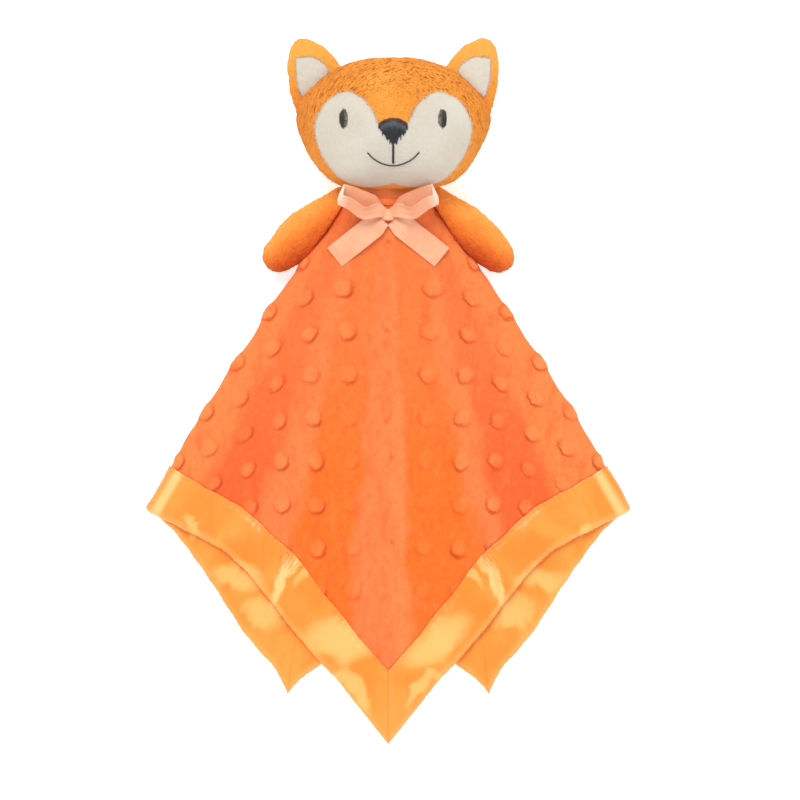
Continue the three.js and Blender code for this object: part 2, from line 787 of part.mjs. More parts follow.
function armForm(offset, sides = armSides) {
  const lean = radians(armAngle);
  const rows = armShares.map(({ along, across, size }) => ({
    along: along * armLength,
    across: across * armLength,
    halfWidth: armHalfWidth * size,
    halfHeight: armHalfHeight * size,
  }));
  const frame = {
    root: new THREE.Vector3(ringHalfWidth * armRootShare.x, ringHalfWidth * armRootShare.y,
      armHalfHeight - flatCut),
    along: new THREE.Vector3(Math.cos(lean), -Math.sin(lean), 0),
    across: new THREE.Vector3(Math.sin(lean), Math.cos(lean), 0),
  };
  return stuffedForm(rows, frame, offset, sides);
}

// The space of the folded cloth, seen from above, that the arms stay out of.
function clothRoomOutline() {
  const edge = nearestStation(halfSector);
  const reaches = [0, morphLength / 4, morphLength / 2, morphLength];
  const side = reaches.map((reach) => {
    const point = clothPoint(stations[edge], reach);
    return new THREE.Vector2(point.x + clothHalf + 2 * (seatGap + threadRadius), point.y);
  });
  const top = clothHalf + seatGap;
  const neckSide = neckHalfWidth + seatGap;
  const neckTopPlace = headCentre.y;
  return [new THREE.Vector2(0, neckTopPlace), new THREE.Vector2(0, side.at(-1).y),
    ...side.slice(1).reverse(), new THREE.Vector2(side[0].x, top),
    new THREE.Vector2(neckSide, top), new THREE.Vector2(neckSide, neckTopPlace)];
}

const armRoom = prism(clothRoomOutline(), -overrun, faceTop).add(headForm(seatGap)).add(ground);
const armSolid = armForm(0).subtract(armRoom);
const armCover = armSolid.subtract(armForm(-plushThickness));
const armStuffing = armForm(-plushThickness - seatGap, armSides / 2).subtract(armRoom)
  .subtract(groundBlock(plushThickness + seatGap));

function mirroredBlanket(solid) {
  const geometry = mirrored(solid);
  geometry.translate(-headCentre.x - headCentre.x, 0, 0);
  return geometry;
}

addPiece('arm_right_cover', toGeometry(armCover), 'plush');
addPiece('arm_right_stuffing', toGeometry(armStuffing), 'filling');
addPiece('arm_left_cover', mirroredBlanket(armCover), 'plush');
addPiece('arm_left_stuffing', mirroredBlanket(armStuffing), 'filling');

// Ribbon bow, tacked on the front of the blanket just below the ring.

const knotDrop = 8.2;
const loopAngle = 25.9;
const tailAngle = -38;
const loopRise = 9;
const knotPinchShare = 0.45;
const loopFlareShare = 0.45;
const tailFlareShare = 0.22;
const loopSteps = 16;
const tailSteps = 7;
const bowBase = clothPoint(stations[0], knotDrop).z + clothHalf + seatGap;
const loopBase = bowBase + ribbonThickness + seatGap + ribbonThickness;

// A ribbon is a band of rows, each with a place, a half width and the way its face looks.
function ribbonBand(rows, across, closed) {
  const points = rows.flatMap(({ place, half, facing }) => [[1, 1], [1, -1], [-1, -1], [-1, 1]]
    .map(([side, face]) => place.clone()
      .addScaledVector(across, side * half)
      .addScaledVector(facing, (face * ribbonThickness) / 2)));
  const triangles = gridTriangles(closed ? rows.length + 1 : rows.length, 4, 0, 0)
    .map((corners) => corners.map((corner) => corner % points.length));
  if (!closed) {
    const end = points.length - 4;
    triangles.push([0, 2, 1], [0, 3, 2], [end, end + 1, end + 2], [end, end + 2, end + 3]);
  }
  return indexedGeometry(points, outwardFacing(points, triangles).flat());
}

function ribbonHalf(share, flareShare) {
  const flare = THREE.MathUtils.smoothstep(share, 0, flareShare);
  return (ribbonWidth / 2) * THREE.MathUtils.lerp(knotPinchShare, 1, flare);
}

function ribbonFrame(angle, side) {
  const lean = radians(angle);
  return {
    along: new THREE.Vector3(side * Math.cos(lean), Math.sin(lean), 0),
    across: new THREE.Vector3(-side * Math.sin(lean), Math.cos(lean), 0),
  };
}

function bowLoop(side) {
  const { along, across } = ribbonFrame(loopAngle, side);
  const start = knotWidth / 2 + 2 * seatGap;
  const length = loopLength - start;
  const rows = Array.from({ length: loopSteps }, (_, step) => {
    const turn = (2 * Math.PI * step) / loopSteps;
    const share = (1 - Math.cos(turn)) / 2;
    const swell = THREE.MathUtils.lerp(2 * ribbonThickness, loopOpening / 2, share ** 0.6);
    const height = loopBase + 2 * ribbonThickness + loopRise * share + swell * Math.sin(turn);
    const place = along.clone().multiplyScalar(start + length * share).setZ(height);
    place.y -= knotDrop;
    const facing = along.clone().multiplyScalar(-Math.cos(turn));
    facing.z = Math.sin(turn) * 2;
    return { place, half: ribbonHalf(share, loopFlareShare), facing: facing.normalize() };
  });
  return ribbonBand(rows, across, true);
}

// The height of the blanket's front at a place beside the middle.
function frontHeight(x, y) {
  const heights = stations.filter((station) => station.level === 1 && station.side === 1)
    .map((station) => clothPoint(station, -y / Math.cos(radians(station.layAngle))));
  const after = heights.findIndex((point) => point.x > Math.abs(x));
  const [a, b] = [heights.at(after - 1), heights.at(after)];
  return THREE.MathUtils.mapLinear(Math.abs(x), a.x, b.x, a.z, b.z) + clothHalf;
}

function bowTail(side) {
  const { along, across } = ribbonFrame(tailAngle, side);
  const start = knotWidth / 2 + seatGap;
  const rows = Array.from({ length: tailSteps + 1 }, (_, step) => {
    const share = step / tailSteps;
    const half = ribbonHalf(share, tailFlareShare);
    const place = along.clone().multiplyScalar(THREE.MathUtils.lerp(start, tailLength, share));
    place.y -= knotDrop;
    const edges = [-half, 0, half].map((reach) => place.clone().addScaledVector(across, reach));
    const carried = Math.max(...edges.map((edge) => frontHeight(edge.x, edge.y)));
    place.z = Math.min(bowBase, carried + seatGap) + ribbonThickness / 2;
    return { place, half, facing: new THREE.Vector3(0, 0, 1) };
  });
  return ribbonBand(rows, across, false);
}

function bowKnot() {
  const rows = [[-1, 0], [-0.96, 0.6], [-0.6, 1], [0.6, 1], [0.96, 0.6], [1, 0]]
    .map(([alongShare, sizeShare]) => ({
      along: (alongShare * knotLength) / 2,
      across: 0,
      halfWidth: (knotWidth / 2) * sizeShare,
      halfHeight: (knotDepth / 2) * sizeShare,
    }));
  const frame = {
    root: new THREE.Vector3(0, -knotDrop, bowBase + knotDepth / 2),
    along: new THREE.Vector3(0, 1, 0),
    across: new THREE.Vector3(-1, 0, 0),
  };
  return stuffedForm(rows, frame, 0, 10);
}

addPiece('bow_loop_right', bowLoop(1), 'ribbon');
addPiece('bow_loop_left', bowLoop(-1), 'ribbon');
addPiece('bow_tail_right', bowTail(1), 'ribbon');
addPiece('bow_tail_left', bowTail(-1), 'ribbon');
addPiece('bow_knot', toGeometry(bowKnot()), 'ribbon');

// The origin is on the ground, under the middle of the whole part.

const whole = new THREE.Group();
whole.add(part);
const frontReach = hemReach(stations[0]);
const earReach = headCentre.y + headHalfHeight * Math.max(...earShares.map(([, y]) => y));
whole.position.y = (frontReach - earReach) / 2;

export default whole;
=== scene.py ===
"""Comfort blanket with a small fox head: the looks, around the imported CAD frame.

Lengths in the functions are millimetres, as a pattern cutter would give them, and become
metres when a mesh is made. The cloth starts as a flat square, and every fold, dot and
stitch is placed on that square and then laid with it.
"""

import math

import bpy
import numpy as np
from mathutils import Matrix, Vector
from mathutils.bvhtree import BVHTree


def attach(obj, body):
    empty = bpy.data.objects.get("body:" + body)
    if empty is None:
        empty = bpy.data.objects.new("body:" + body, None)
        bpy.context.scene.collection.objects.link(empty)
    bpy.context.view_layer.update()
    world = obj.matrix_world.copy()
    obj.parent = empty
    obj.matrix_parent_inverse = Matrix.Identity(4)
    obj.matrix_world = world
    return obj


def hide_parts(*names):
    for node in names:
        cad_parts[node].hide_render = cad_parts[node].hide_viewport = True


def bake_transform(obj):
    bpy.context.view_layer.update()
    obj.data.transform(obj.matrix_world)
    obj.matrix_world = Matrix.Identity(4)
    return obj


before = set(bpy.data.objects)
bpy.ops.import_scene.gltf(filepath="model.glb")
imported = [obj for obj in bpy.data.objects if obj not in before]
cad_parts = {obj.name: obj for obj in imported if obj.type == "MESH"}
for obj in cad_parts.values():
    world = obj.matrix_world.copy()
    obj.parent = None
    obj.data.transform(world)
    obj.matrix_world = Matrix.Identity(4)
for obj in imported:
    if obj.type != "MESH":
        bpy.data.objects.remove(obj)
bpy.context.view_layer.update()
bpy.ops.object.select_all(action="DESELECT")

MM = 0.001

# The toy's own frame has its origin at the gathering ring. The CAD's is under the middle.
RING_Y = 95.86


# ---------------------------------------------------------------- camera, floor and light

CAMERA_PLACE = (0.00585, -0.00425, 2.51)
CAMERA_LENS, CAMERA_SENSOR, CAMERA_REACH = 225, 36, 20
FLOOR_SIZE = 6
LIGHTS = [
    ("key_light", (-0.6, 2.4, 3.6), 1.8, 107),
    ("fill_light", (1.0, -2.6, 3.0), 2.4, 50),
]
WORLD_STRENGTH = 0.66


def added(name, data):
    """A new object of the scene that shows some data."""
    item = bpy.data.objects.new(name, data)
    bpy.context.collection.objects.link(item)
    return item


def pick(*pieces):
    """Selects these pieces alone, the last one active."""
    bpy.ops.object.select_all(action="DESELECT")
    for piece in pieces:
        piece.select_set(True)
        bpy.context.view_layer.objects.active = piece


def studio():
    camera = added("camera", bpy.data.cameras.new("camera"))
    camera.location = CAMERA_PLACE
    camera.data.lens = CAMERA_LENS
    camera.data.sensor_width = CAMERA_SENSOR
    camera.data.clip_end = CAMERA_REACH
    bpy.context.scene.camera = camera

    bpy.ops.mesh.primitive_plane_add(size=FLOOR_SIZE, location=(0, 0, 0))
    floor = bpy.context.object
    floor.name = "studio_floor"
    floor.data.materials.append(floor_finish())

    for name, place, size, power in LIGHTS:
        lamp = added(name, bpy.data.lights.new(name, "AREA"))
        lamp.location = place
        lamp.data.shape = "SQUARE"
        lamp.data.size = size
        lamp.data.energy = power
        lamp.rotation_euler = (Vector(place) * -1).to_track_quat("-Z", "Y").to_euler()

    world = bpy.data.worlds.new("studio")
    world.use_nodes = True
    background = world.node_tree.nodes["Background"].inputs
    background["Color"].default_value = (1, 1, 1, 1)
    background["Strength"].default_value = WORLD_STRENGTH
    bpy.context.scene.world = world
    bpy.context.scene.view_settings.view_transform = "Standard"


# ---------------------------------------------------------------- shader expressions


FLAT_MAP = "flat_cloth"
COMB = "comb"
MAP_SIZE = 500.0


def operator(operation):
    """A Math operation as an operator of values, and its reflected form."""

    def plain(self, other):
        return self.maths(operation, self, other)

    def reflected(self, other):
        return self.maths(operation, other, self)

    return plain, reflected


class Value:
    """A socket of a finish. An expression on values adds its Math nodes."""

    __add__, __radd__ = operator("ADD")
    __sub__, __rsub__ = operator("SUBTRACT")
    __mul__, __rmul__ = operator("MULTIPLY")
    __truediv__, __rtruediv__ = operator("DIVIDE")
    __pow__, __rpow__ = operator("POWER")

    def __init__(self, finish, socket):
        self.finish = finish
        self.socket = socket

    def maths(self, operation, *inputs):
        return self.finish.node("Math", {"operation": operation}, dict(enumerate(inputs)))

    def rounded(self):
        return self.maths("ROUND", self)

    def sine(self):
        return self.maths("SINE", self)

    def size(self):
        return self.maths("ABSOLUTE", self)

    def sign(self):
        return self.maths("SIGN", self)

    def at_least(self, other):
        return self.maths("MAXIMUM", self, other)

    def angle_from(self, other):
        """The angle in degrees whose tangent is self over other."""
        return self.maths("ARCTAN2", self, other) * (180 / math.pi)

    def between(self, low, high):
        """0 at low and below, 1 at high and above, smooth between."""
        inputs = {"Value": self, "From Min": low, "From Max": high}
        return self.finish.node("MapRange", {"interpolation_type": "SMOOTHSTEP"}, inputs)


class Finish:
    """A material and its nodes."""

    def __init__(self, name):
        self.material = bpy.data.materials.new(name)
        self.material.use_nodes = True
        self.tree = self.material.node_tree
        self.tree.nodes.clear()

    def node(self, kind, settings=None, inputs=None, output=0):
        """Adds a node, with its settings first, and gives back one of its outputs."""
        node = self.tree.nodes.new("ShaderNode" + kind)
        for key, value in (settings or {}).items():
            if key == "stops":
                self.set_stops(node.color_ramp.elements, value)
            else:
                setattr(node, key, value)
        for key, value in (inputs or {}).items():
            if isinstance(value, Value):
                self.tree.links.new(value.socket, node.inputs[key])
            else:
                node.inputs[key].default_value = value
        return Value(self, node.outputs[output]) if len(node.outputs) else None

    def set_stops(self, elements, stops):
        while len(elements) < len(stops):
            elements.new(1)
        for element, (place, colour) in zip(elements, stops):
            element.position = place
            element.color = colour

    def scaled(self, vector, factor):
        return self.node("VectorMath", {"operation": "SCALE"}, {0: vector, "Scale": factor})

    def place(self):
        """Object coordinates in millimetres."""
        return self.scaled(self.node("TexCoord", output="Object"), 1 / MM)

    def flat_place(self):
        """The UV map in millimetres of flat cloth."""
        return self.scaled(self.node("UVMap", {"uv_map": FLAT_MAP}), MAP_SIZE)

    def combed_place(self):
        """Along the pile, across it and through it, in millimetres."""
        return self.node("Attribute", {"attribute_name": COMB}, output="Vector")

    def axis(self, vector, output):
        return self.node("SeparateXYZ", {}, {0: vector}, output)

    def ramp(self, share, stops):
        return self.node("ValToRGB", {"stops": stops}, {0: share})

    def stretched(self, vector, scale):
        return self.node("Mapping", {}, {"Vector": vector, "Scale": scale})

    def noise(self, vector, scale, detail=2, roughness=0.5, distortion=0):
        inputs = {"Vector": vector, "Scale": scale, "Detail": detail}
        inputs.update({"Roughness": roughness, "Distortion": distortion})
        return self.node("TexNoise", {}, inputs)

    def mix(self, share, first, second):
        return self.node("Mix", {"data_type": "RGBA"}, {0: share, 6: first, 7: second}, 2)

    def over(self, colour, *layers):
        """A colour under layers, each given as its share and its tone."""
        for share, tone in layers:
            colour = self.mix(share, colour, tone)
        return colour

    def bump(self, height, distance, strength, normal=None):
        inputs = {"Height": height, "Distance": distance * MM, "Strength": strength}
        if normal is not None:
            inputs["Normal"] = normal
        return self.node("Bump", {}, inputs)

    def done(self, **inputs):
        sockets = {key.replace("_", " "): value for key, value in inputs.items()}
        shader = self.node("BsdfPrincipled", {}, sockets)
        self.node("OutputMaterial", {}, {"Surface": shader})
        return self.material


def linear(red, green, blue):
    """A colour as a shader takes it, from the eight-bit values that a screen shows."""
    shares = [channel / 255 for channel in (red, green, blue)]
    return tuple(
        share / 12.92 if share <= 0.04045 else ((share + 0.055) / 1.055) ** 2.4
        for share in shares
    ) + (1,)


# ---------------------------------------------------------------- finishes


def floor_finish():
    finish = Finish("floor_paper")
    grain = finish.noise(finish.place(), 0.9)
    return finish.done(
        Base_Color=linear(244, 244, 244),
        Roughness=0.9,
        Emission_Color=(1, 1, 1, 1),
        Emission_Strength=0.58,
        Normal=finish.bump(grain, 0.02, 0.2),
    )


def minky_finish():
    """Short plush with raised round dots, painted shade along the lower inner edge of each dot and
    a painted highlight on its crown.
    """
    finish = Finish("minky_plush")
    flat = finish.flat_place()
    across, along = finish.axis(flat, "X"), finish.axis(flat, "Y")
    lumps = finish.noise(flat, 0.22, 2, 0.6) - 0.5
    column, row = across / DOT_COLUMN, (along - DOT_START) / DOT_ROW
    beside = (column - column.rounded()) * DOT_COLUMN + lumps * 4
    below = (row - row.rounded()) * DOT_ROW - lumps * 3
    from_dot = (beside * beside + below * below) ** 0.5
    off_middle = column.size().between(0.45, 0.55)
    inner = (1 - column.size().between(1.3, 1.7)) * along.between(106, 118)
    uneven = finish.noise(flat, 0.045, 2, 0.6).between(0.3, 0.6)
    shown = off_middle * (1 - inner * 0.65) * (uneven * 0.6 + 0.4)
    # Painted shade in a crescent round the lower and inner edge of each dot, and a painted
    # highlight on each dot's crown.
    ring = from_dot.between(3.4, 4.8) * (1 - from_dot.between(5.0, 6.5)) * shown
    leaning = (below * 0.8 - beside * across.sign() * 0.6) / (from_dot + 0.1)
    dot_shade = ring * (leaning * 0.5 + 0.5) ** 2
    crown = (1 - from_dot.between(2.4, 5.0)) * shown
    pile = finish.noise(finish.stretched(flat, (1, 0.3, 1)), 1.6, 3, 0.65)
    nap = finish.noise(finish.stretched(flat, (1, 0.35, 1)), 0.14, 2, 0.6)
    wander = (finish.noise(finish.stretched(flat, (1, 0.5, 1)), 0.06, 2, 0.6) - 0.5) * 7
    strayed, sunk = beside + wander * 2.4, below - wander * 3
    from_speck = (strayed * strayed + sunk * sunk) ** 0.5
    speck = (1 - from_speck.between(0.4, 2.6)) * (1 - off_middle)
    turn = across.angle_from(along.at_least(1)) + wander
    spread = along + (nap - 0.5) * 60
    # Painted highlight on the long ripples' crests and painted shade in their hollows, by the angle
    # across the front, stronger towards the hem.
    folds = finish.ramp((turn + 45) / 90, MINKY_RIPPLE_SHADING)
    mottle = finish.noise(finish.stretched(flat, (1, 0.7, 1)), 0.32, 3, 0.7)
    colour = finish.over(
        finish.mix(spread.between(60, 165) * 0.62 + 0.3, LIT_CREST, folds),
        (mottle.between(0.5, 0.3) * 0.3, linear(226, 90, 46)),
        (mottle.between(0.52, 0.72) * 0.25, linear(248, 148, 90)),
        (nap.between(0.5, 0.8) * 0.25, linear(244, 144, 86)),
        (nap.between(0.5, 0.24) * 0.4, linear(236, 92, 42)),
        (crown * (lumps + 0.5) * 0.8, linear(246, 146, 84)),
        (dot_shade * 0.85, linear(198, 66, 30)),
        (speck * nap.between(0.4, 0.6) * 0.55, linear(206, 80, 32)),
        (pile.between(0.5, 0.3) * 0.22, linear(206, 76, 34)),
    )
    return finish.done(
        Base_Color=colour,
        Roughness=0.95,
        Sheen_Weight=0.12,
        Sheen_Roughness=0.5,
        Sheen_Tint=linear(255, 180, 130),
        Specular_IOR_Level=0.15,
        Normal=finish.bump(pile, 0.5, 0.8),
    )


def lining_finish():
    """Smooth knit of the blanket's underside."""
    finish = Finish("lining_knit")
    flat = finish.flat_place()
    wales = (finish.axis(flat, "X") * 6.0).sine() * (finish.axis(flat, "Y") * 5.0).sine()
    patch = finish.noise(flat, 0.05, 2)
    colour = finish.mix(patch.between(0.3, 0.7), linear(246, 122, 60), linear(252, 142, 80))
    return finish.done(
        Base_Color=colour,
        Roughness=0.85,
        Sheen_Weight=0.15,
        Specular_IOR_Level=0.2,
        Normal=finish.bump(wales, 0.12, 0.5),
    )


def satin_finish():
    """Satin with painted highlights where its wrinkles, side folds and hem would turn to the light,
    and painted shade in deeper patches and in the small gathers at its seam.
    """
    finish = Finish("amber_satin")
    flat = finish.flat_place()
    across, along = finish.axis(flat, "X"), finish.axis(flat, "Y")
    broad = finish.noise(flat, 0.035, 2, 0.5, 0.5)
    wrinkle = finish.noise(flat, 0.11, 2, 0.5, 0.9)
    floats = finish.noise(flat, 2.4, 2, 0.6)
    place = finish.place()
    x = finish.axis(place, "X").size() + (wrinkle - 0.5) * 7
    y = finish.axis(place, "Y") + (broad - 0.5) * 22
    colour = finish.mix(broad.between(0.35, 0.65), linear(242, 138, 38), linear(245, 152, 56))
    # Painted highlight and painted shade patches, where the satin's crinkles catch or lose the
    # light.
    for spot, half_size, turn, tone, share in SATIN_SHEEN_PATCHES:
        cosine, sine = math.cos(math.radians(turn)), math.sin(math.radians(turn))
        lengthwise = ((x - spot[0]) * cosine + (y - spot[1]) * sine) / half_size[0]
        crosswise = ((y - spot[1]) * cosine - (x - spot[0]) * sine) / half_size[1]
        away = lengthwise * lengthwise + crosswise * crosswise
        colour = finish.mix((1 - away.between(0.1, 1.9)) * share, colour, tone)
    # Painted shade in stripes along the small gathers at the seam.
    beside = (x - GATHERS[0]) * SEAM_WAY[1] - (y - GATHERS[1]) * SEAM_WAY[0]
    seamwise = (x - GATHERS[0]) * SEAM_WAY[0] + (y - GATHERS[1]) * SEAM_WAY[1]
    near = (seamwise * seamwise / 36 + beside * beside / 22).between(1.5, 0.3)
    gather_shade = (seamwise * (2 * math.pi / GATHERS_PITCH)).sine().between(0.1, 0.9)
    # Painted highlights: a strip along each side fold, and the rounded hem made paler against its
    # shade.
    turn = across.size().angle_from(along.at_least(1))
    edge = turn.between(41.0, 42.3) * (1 - turn.between(42.9, 44.0))
    farthest = (across.size() + along.size()) / math.sqrt(2)
    hem = (farthest - CLOTH_HALF_SIDE).between(-4.5, -1.0)
    colour = finish.over(
        colour,
        (gather_shade * near * 0.55, linear(214, 122, 40)),
        (edge * 0.65, linear(252, 214, 140)),
        (hem * 0.3, linear(252, 190, 108)),
    )
    return finish.done(
        Base_Color=colour,
        Roughness=0.36,
        Sheen_Weight=0.1,
        Specular_IOR_Level=0.45,
        Normal=finish.bump(floats, 0.03, 0.25, finish.bump(wrinkle, 1.0, 0.25)),
    )


# Small gathers beside one place of the front's seam, painted as stripes of shade in their folds:
# that place beside and along the toy's middle line, the way the seam runs there, and their pitch.
GATHERS, SEAM_WAY, GATHERS_PITCH = (48.5, -83.0), (0.77, 0.64), 1.9
# Tones of painted shade, painted sheen and painted glint on the satin.
SATIN_SHADE, SATIN_SHEEN, SATIN_GLINT = linear(240, 130, 28), linear(250, 190, 106), linear(253, 214, 140)

# Painted highlight and painted shade patches on the front's satin, where its crinkles catch or lose
# the light: place beside and along the toy's middle line, half length and half width, turn in
# degrees, tone and strength.
SATIN_SHEEN_PATCHES = [
    ((70, -80), (19, 11), -35, SATIN_SHADE, 0.7),
    ((50, -112), (9, 7), 20, SATIN_SHADE, 0.6),
    ((34, -104), (9, 5), -45, SATIN_SHADE, 0.5),
    ((75.6, -92.4), (12, 5.5), 11, SATIN_SHEEN, 0.75),
    ((62.5, -110.5), (10, 6.5), 20, SATIN_SHEEN, 0.7),
    ((54, -94.8), (13, 2.6), -73, SATIN_GLINT, 0.7),
    ((47, -86), (7, 2.6), -60, SATIN_GLINT, 0.5),
    ((24, -125), (16, 8), 25, SATIN_SHEEN, 0.85),
    ((15.6, -149), (10, 2.8), 52, SATIN_SHEEN, 0.8),
    ((24, -142), (6, 3), -48, SATIN_SHEEN, 0.6),
    ((40.7, -92.4), (8, 2.6), -42, SATIN_SHEEN, 0.7),
    ((98, -69), (6, 2.4), 63, SATIN_SHEEN, 0.7),
]


def plush_finish(name, colour_of, groove_of, groove_shade):
    """Short combed pile. Its colour, and the painted shade in its combed grooves, vary with place.
    """
    finish = Finish(name)
    comb = finish.combed_place()
    colour, groove = colour_of(finish, comb), groove_of(finish, comb)
    lines = finish.noise(finish.stretched(comb, (0.2, 1, 1)), 1.2, 2, 0.5, 0.9)
    grain = finish.noise(finish.stretched(comb, (0.45, 1, 1)), 2.1, 3, 0.6)
    # Painted shade in the pile's combed grooves and in its grain.
    colour = finish.mix(lines.between(0.5, 0.34) * groove, colour, groove_shade)
    colour = finish.mix(grain.between(0.48, 0.3) * groove * 0.5, colour, groove_shade)
    normal = finish.bump(grain, 0.3, 0.6)
    return finish.done(
        Base_Color=colour,
        Roughness=0.95,
        Sheen_Weight=0.15,
        Sheen_Roughness=0.5,
        Sheen_Tint=linear(255, 214, 160),
        Specular_IOR_Level=0.15,
        Normal=finish.bump(lines, 0.7, 0.6, normal),
    )


def patched(light, middle):
    """Plush of one colour, uneven over some centimetres."""

    def colour_of(finish, _comb):
        patch = finish.noise(finish.place(), 0.05, 2)
        return finish.mix(patch.between(0.3, 0.7), middle, light)

    return colour_of


def even_groove(depth):
    return lambda _finish, _comb: depth


def head_colour(finish, comb):
    """Orange, deeper down the cheeks."""
    patch = finish.noise(finish.place(), 0.05, 2) - 0.5
    away = finish.axis(comb, "Y") + patch * 24
    colour = finish.mix(patch.between(-0.2, 0.2), linear(230, 144, 54), linear(236, 158, 68))
    return finish.mix(away.between(34, 52) * 0.75, colour, linear(218, 128, 44))


def head_groove(finish, comb):
    """Strong painted shade in the grooves over the forehead and weak down the cheeks."""
    turn, away = finish.axis(comb, "X").size(), finish.axis(comb, "Y")
    return away.between(18, 32) * (1 - turn.between(32, 60)) * 0.85 + 0.16


# Painted light and shade across an arm, from its lower edge to its upper one.
ARM_LIGHT_AND_SHADE = [
    (0.0, linear(190, 62, 20)),
    (0.2, linear(206, 78, 26)),
    (0.42, linear(224, 104, 38)),
    (0.6, linear(234, 128, 50)),
    (0.8, linear(242, 154, 68)),
    (1.0, linear(246, 164, 78)),
]


def arm_colour(finish, comb):
    """Painted light along the upper edge and painted shade, deep red-orange, along the lower one.
    """
    patch = finish.noise(finish.place(), 0.08, 2) - 0.5
    return finish.ramp((finish.axis(comb, "Y") + patch * 8 + 12) / 24, ARM_LIGHT_AND_SHADE)


def arm_groove(finish, comb):
    """Stronger painted groove shade on the lower side."""
    return (1 - finish.axis(comb, "Y").between(-8, 4)) * 0.65 + 0.06


def ear_colour(finish, _comb):
    """Paler towards the tips."""
    place = finish.place()
    patch = finish.noise(place, 0.1, 2) - 0.5
    tone = (finish.axis(place, "Y") + patch * 16).between(140, 168)
    return finish.mix(tone, linear(228, 138, 50), linear(238, 168, 76))


def floss_finish(name, lit_from, lit_to, tone):
    """Dark embroidery floss, paler where its stitches catch the light."""
    finish = Finish(name)
    place = finish.place()
    ply = finish.noise(finish.stretched(place, (0.6, 3, 3)), 2.0, 2)
    streak = finish.noise(finish.stretched(place, (2.2, 0.8, 1)), 0.9, 3, 0.7)
    lit = finish.axis(place, "X").between(lit_from, lit_to)
    colour = finish.mix(ply.between(0.3, 0.7), linear(30, 26, 22), linear(50, 44, 38))
    colour = finish.mix(lit * streak.between(0.42, 0.56) * 0.9, colour, tone)
    return finish.done(
        Base_Color=colour, Roughness=0.45, Sheen_Weight=0.1, Normal=finish.bump(ply, 0.1, 0.5)
    )


def nose_finish():
    """Dark floss with a blue-grey light near its top and a brown top edge."""
    finish = Finish("nose_floss")
    place = finish.place()
    ply = finish.noise(finish.stretched(place, (3, 0.5, 3)), 2.0, 2)
    height = finish.axis(place, "Y") - (HEAD_CENTRE[1] + RING_Y)
    colour = finish.mix(ply.between(0.3, 0.7), linear(22, 24, 26), linear(42, 46, 50))
    side = finish.axis(place, "X") - HEAD_CENTRE[0]
    arch = height + side * side * 0.07
    lit = arch.between(-4.6, -2.6) * (1 - arch.between(-1.6, -0.8))
    colour = finish.mix(lit * 0.6, colour, linear(80, 86, 92))
    colour = finish.mix(arch.between(-0.9, -0.2) * 0.85, colour, linear(84, 34, 26))
    return finish.done(Base_Color=colour, Roughness=0.4, Normal=finish.bump(ply, 0.12, 0.6))


def ribbon_finish():
    """Peach satin ribbon, with a painted highlight where each loop turns."""
    finish = Finish("peach_ribbon")
    flat = finish.flat_place()
    floats = finish.noise(finish.stretched(flat, (6, 0.3, 1)), 1.5, 2)
    patch = finish.noise(finish.place(), 0.07, 2)
    run = finish.axis(flat, "Y")
    # Painted highlight across the far turn of each loop.
    turned = run.between(21, 27) * (1 - run.between(29, 35))
    colour = finish.mix(patch.between(0.35, 0.65), linear(236, 162, 120), linear(240, 176, 138))
    colour = finish.mix(turned * 0.8, colour, linear(250, 214, 190))
    return finish.done(
        Base_Color=colour,
        Roughness=0.34,
        Sheen_Weight=0.15,
        Normal=finish.bump(floats, 0.04, 0.4),
    )


def filling_finish():
    """White polyester fibre."""
    finish = Finish("fibre_filling")
    place = finish.place()
    fibres = finish.noise(place, 0.6, 5, 0.7, 1.5)
    colour = finish.mix(fibres.between(0.3, 0.7), linear(228, 228, 226), linear(250, 250, 248))
    return finish.done(Base_Color=colour, Roughness=1.0, Normal=finish.bump(fibres, 1.2, 0.8))


def cord_finish():
    """Orange sewing thread."""
    finish = Finish("orange_thread")
    twist = finish.noise(finish.place(), 2.5, 2)
    colour = finish.mix(twist, linear(216, 92, 28), linear(246, 132, 56))
    return finish.done(Base_Color=colour, Roughness=0.6, Normal=finish.bump(twist, 0.1, 0.6))


# ---------------------------------------------------------------- mesh helpers


def step_between(value, low, high):
    """0 at low and below, 1 at high and above, smooth between."""
    share = np.clip((value - low) / (high - low), 0, 1)
    return share * share * (3 - 2 * share)


def hump(value, at, spread):
    """1 at one value, smoothly down to nearly 0 at two spreads from it."""
    return np.exp(-(((value - at) / spread) ** 2))


def unit(vectors):
    """Vectors made as long as 1."""
    return vectors / np.maximum(np.linalg.norm(vectors, axis=-1, keepdims=True), 1e-12)


def waves(points, length, seed, count=14):
    """A smooth random height of about -1 to 1, whose bumps are about the given length."""
    draw = np.random.default_rng(seed)
    size = points.shape[-1]
    turn = draw.normal(size=(count, size))
    turn /= np.linalg.norm(turn, axis=1, keepdims=True)
    pitch = 2 * math.pi / (length * draw.uniform(0.7, 1.5, count))
    phase = draw.uniform(0, 2 * math.pi, count)
    total = np.zeros(points.shape[:-1])
    for one in range(count):
        total += np.sin((points @ turn[one]) * pitch[one] + phase[one])
    return total / math.sqrt(count)


def new_piece(name, points, faces, finish, flat=None, rounded=True):
    """A mesh object from points in millimetres round the gathering ring."""
    placed = np.asarray(points, float).reshape(-1, 3) + (0, RING_Y, 0)
    mesh = bpy.data.meshes.new(name)
    corners = faces.tolist() if isinstance(faces, np.ndarray) else faces
    mesh.from_pydata((placed * MM).tolist(), [], corners)
    mesh.polygons.foreach_set("use_smooth", [rounded] * len(mesh.polygons))
    if flat is not None:
        layer = mesh.uv_layers.new(name=FLAT_MAP)
        corner = np.zeros(len(mesh.loops), int)
        mesh.loops.foreach_get("vertex_index", corner)
        share = np.reshape(flat, (-1, 2)) / MAP_SIZE
        layer.uv.foreach_set("vector", share[corner].ravel())
    mesh.update()
    mesh.materials.append(finish)
    return added(name, mesh)


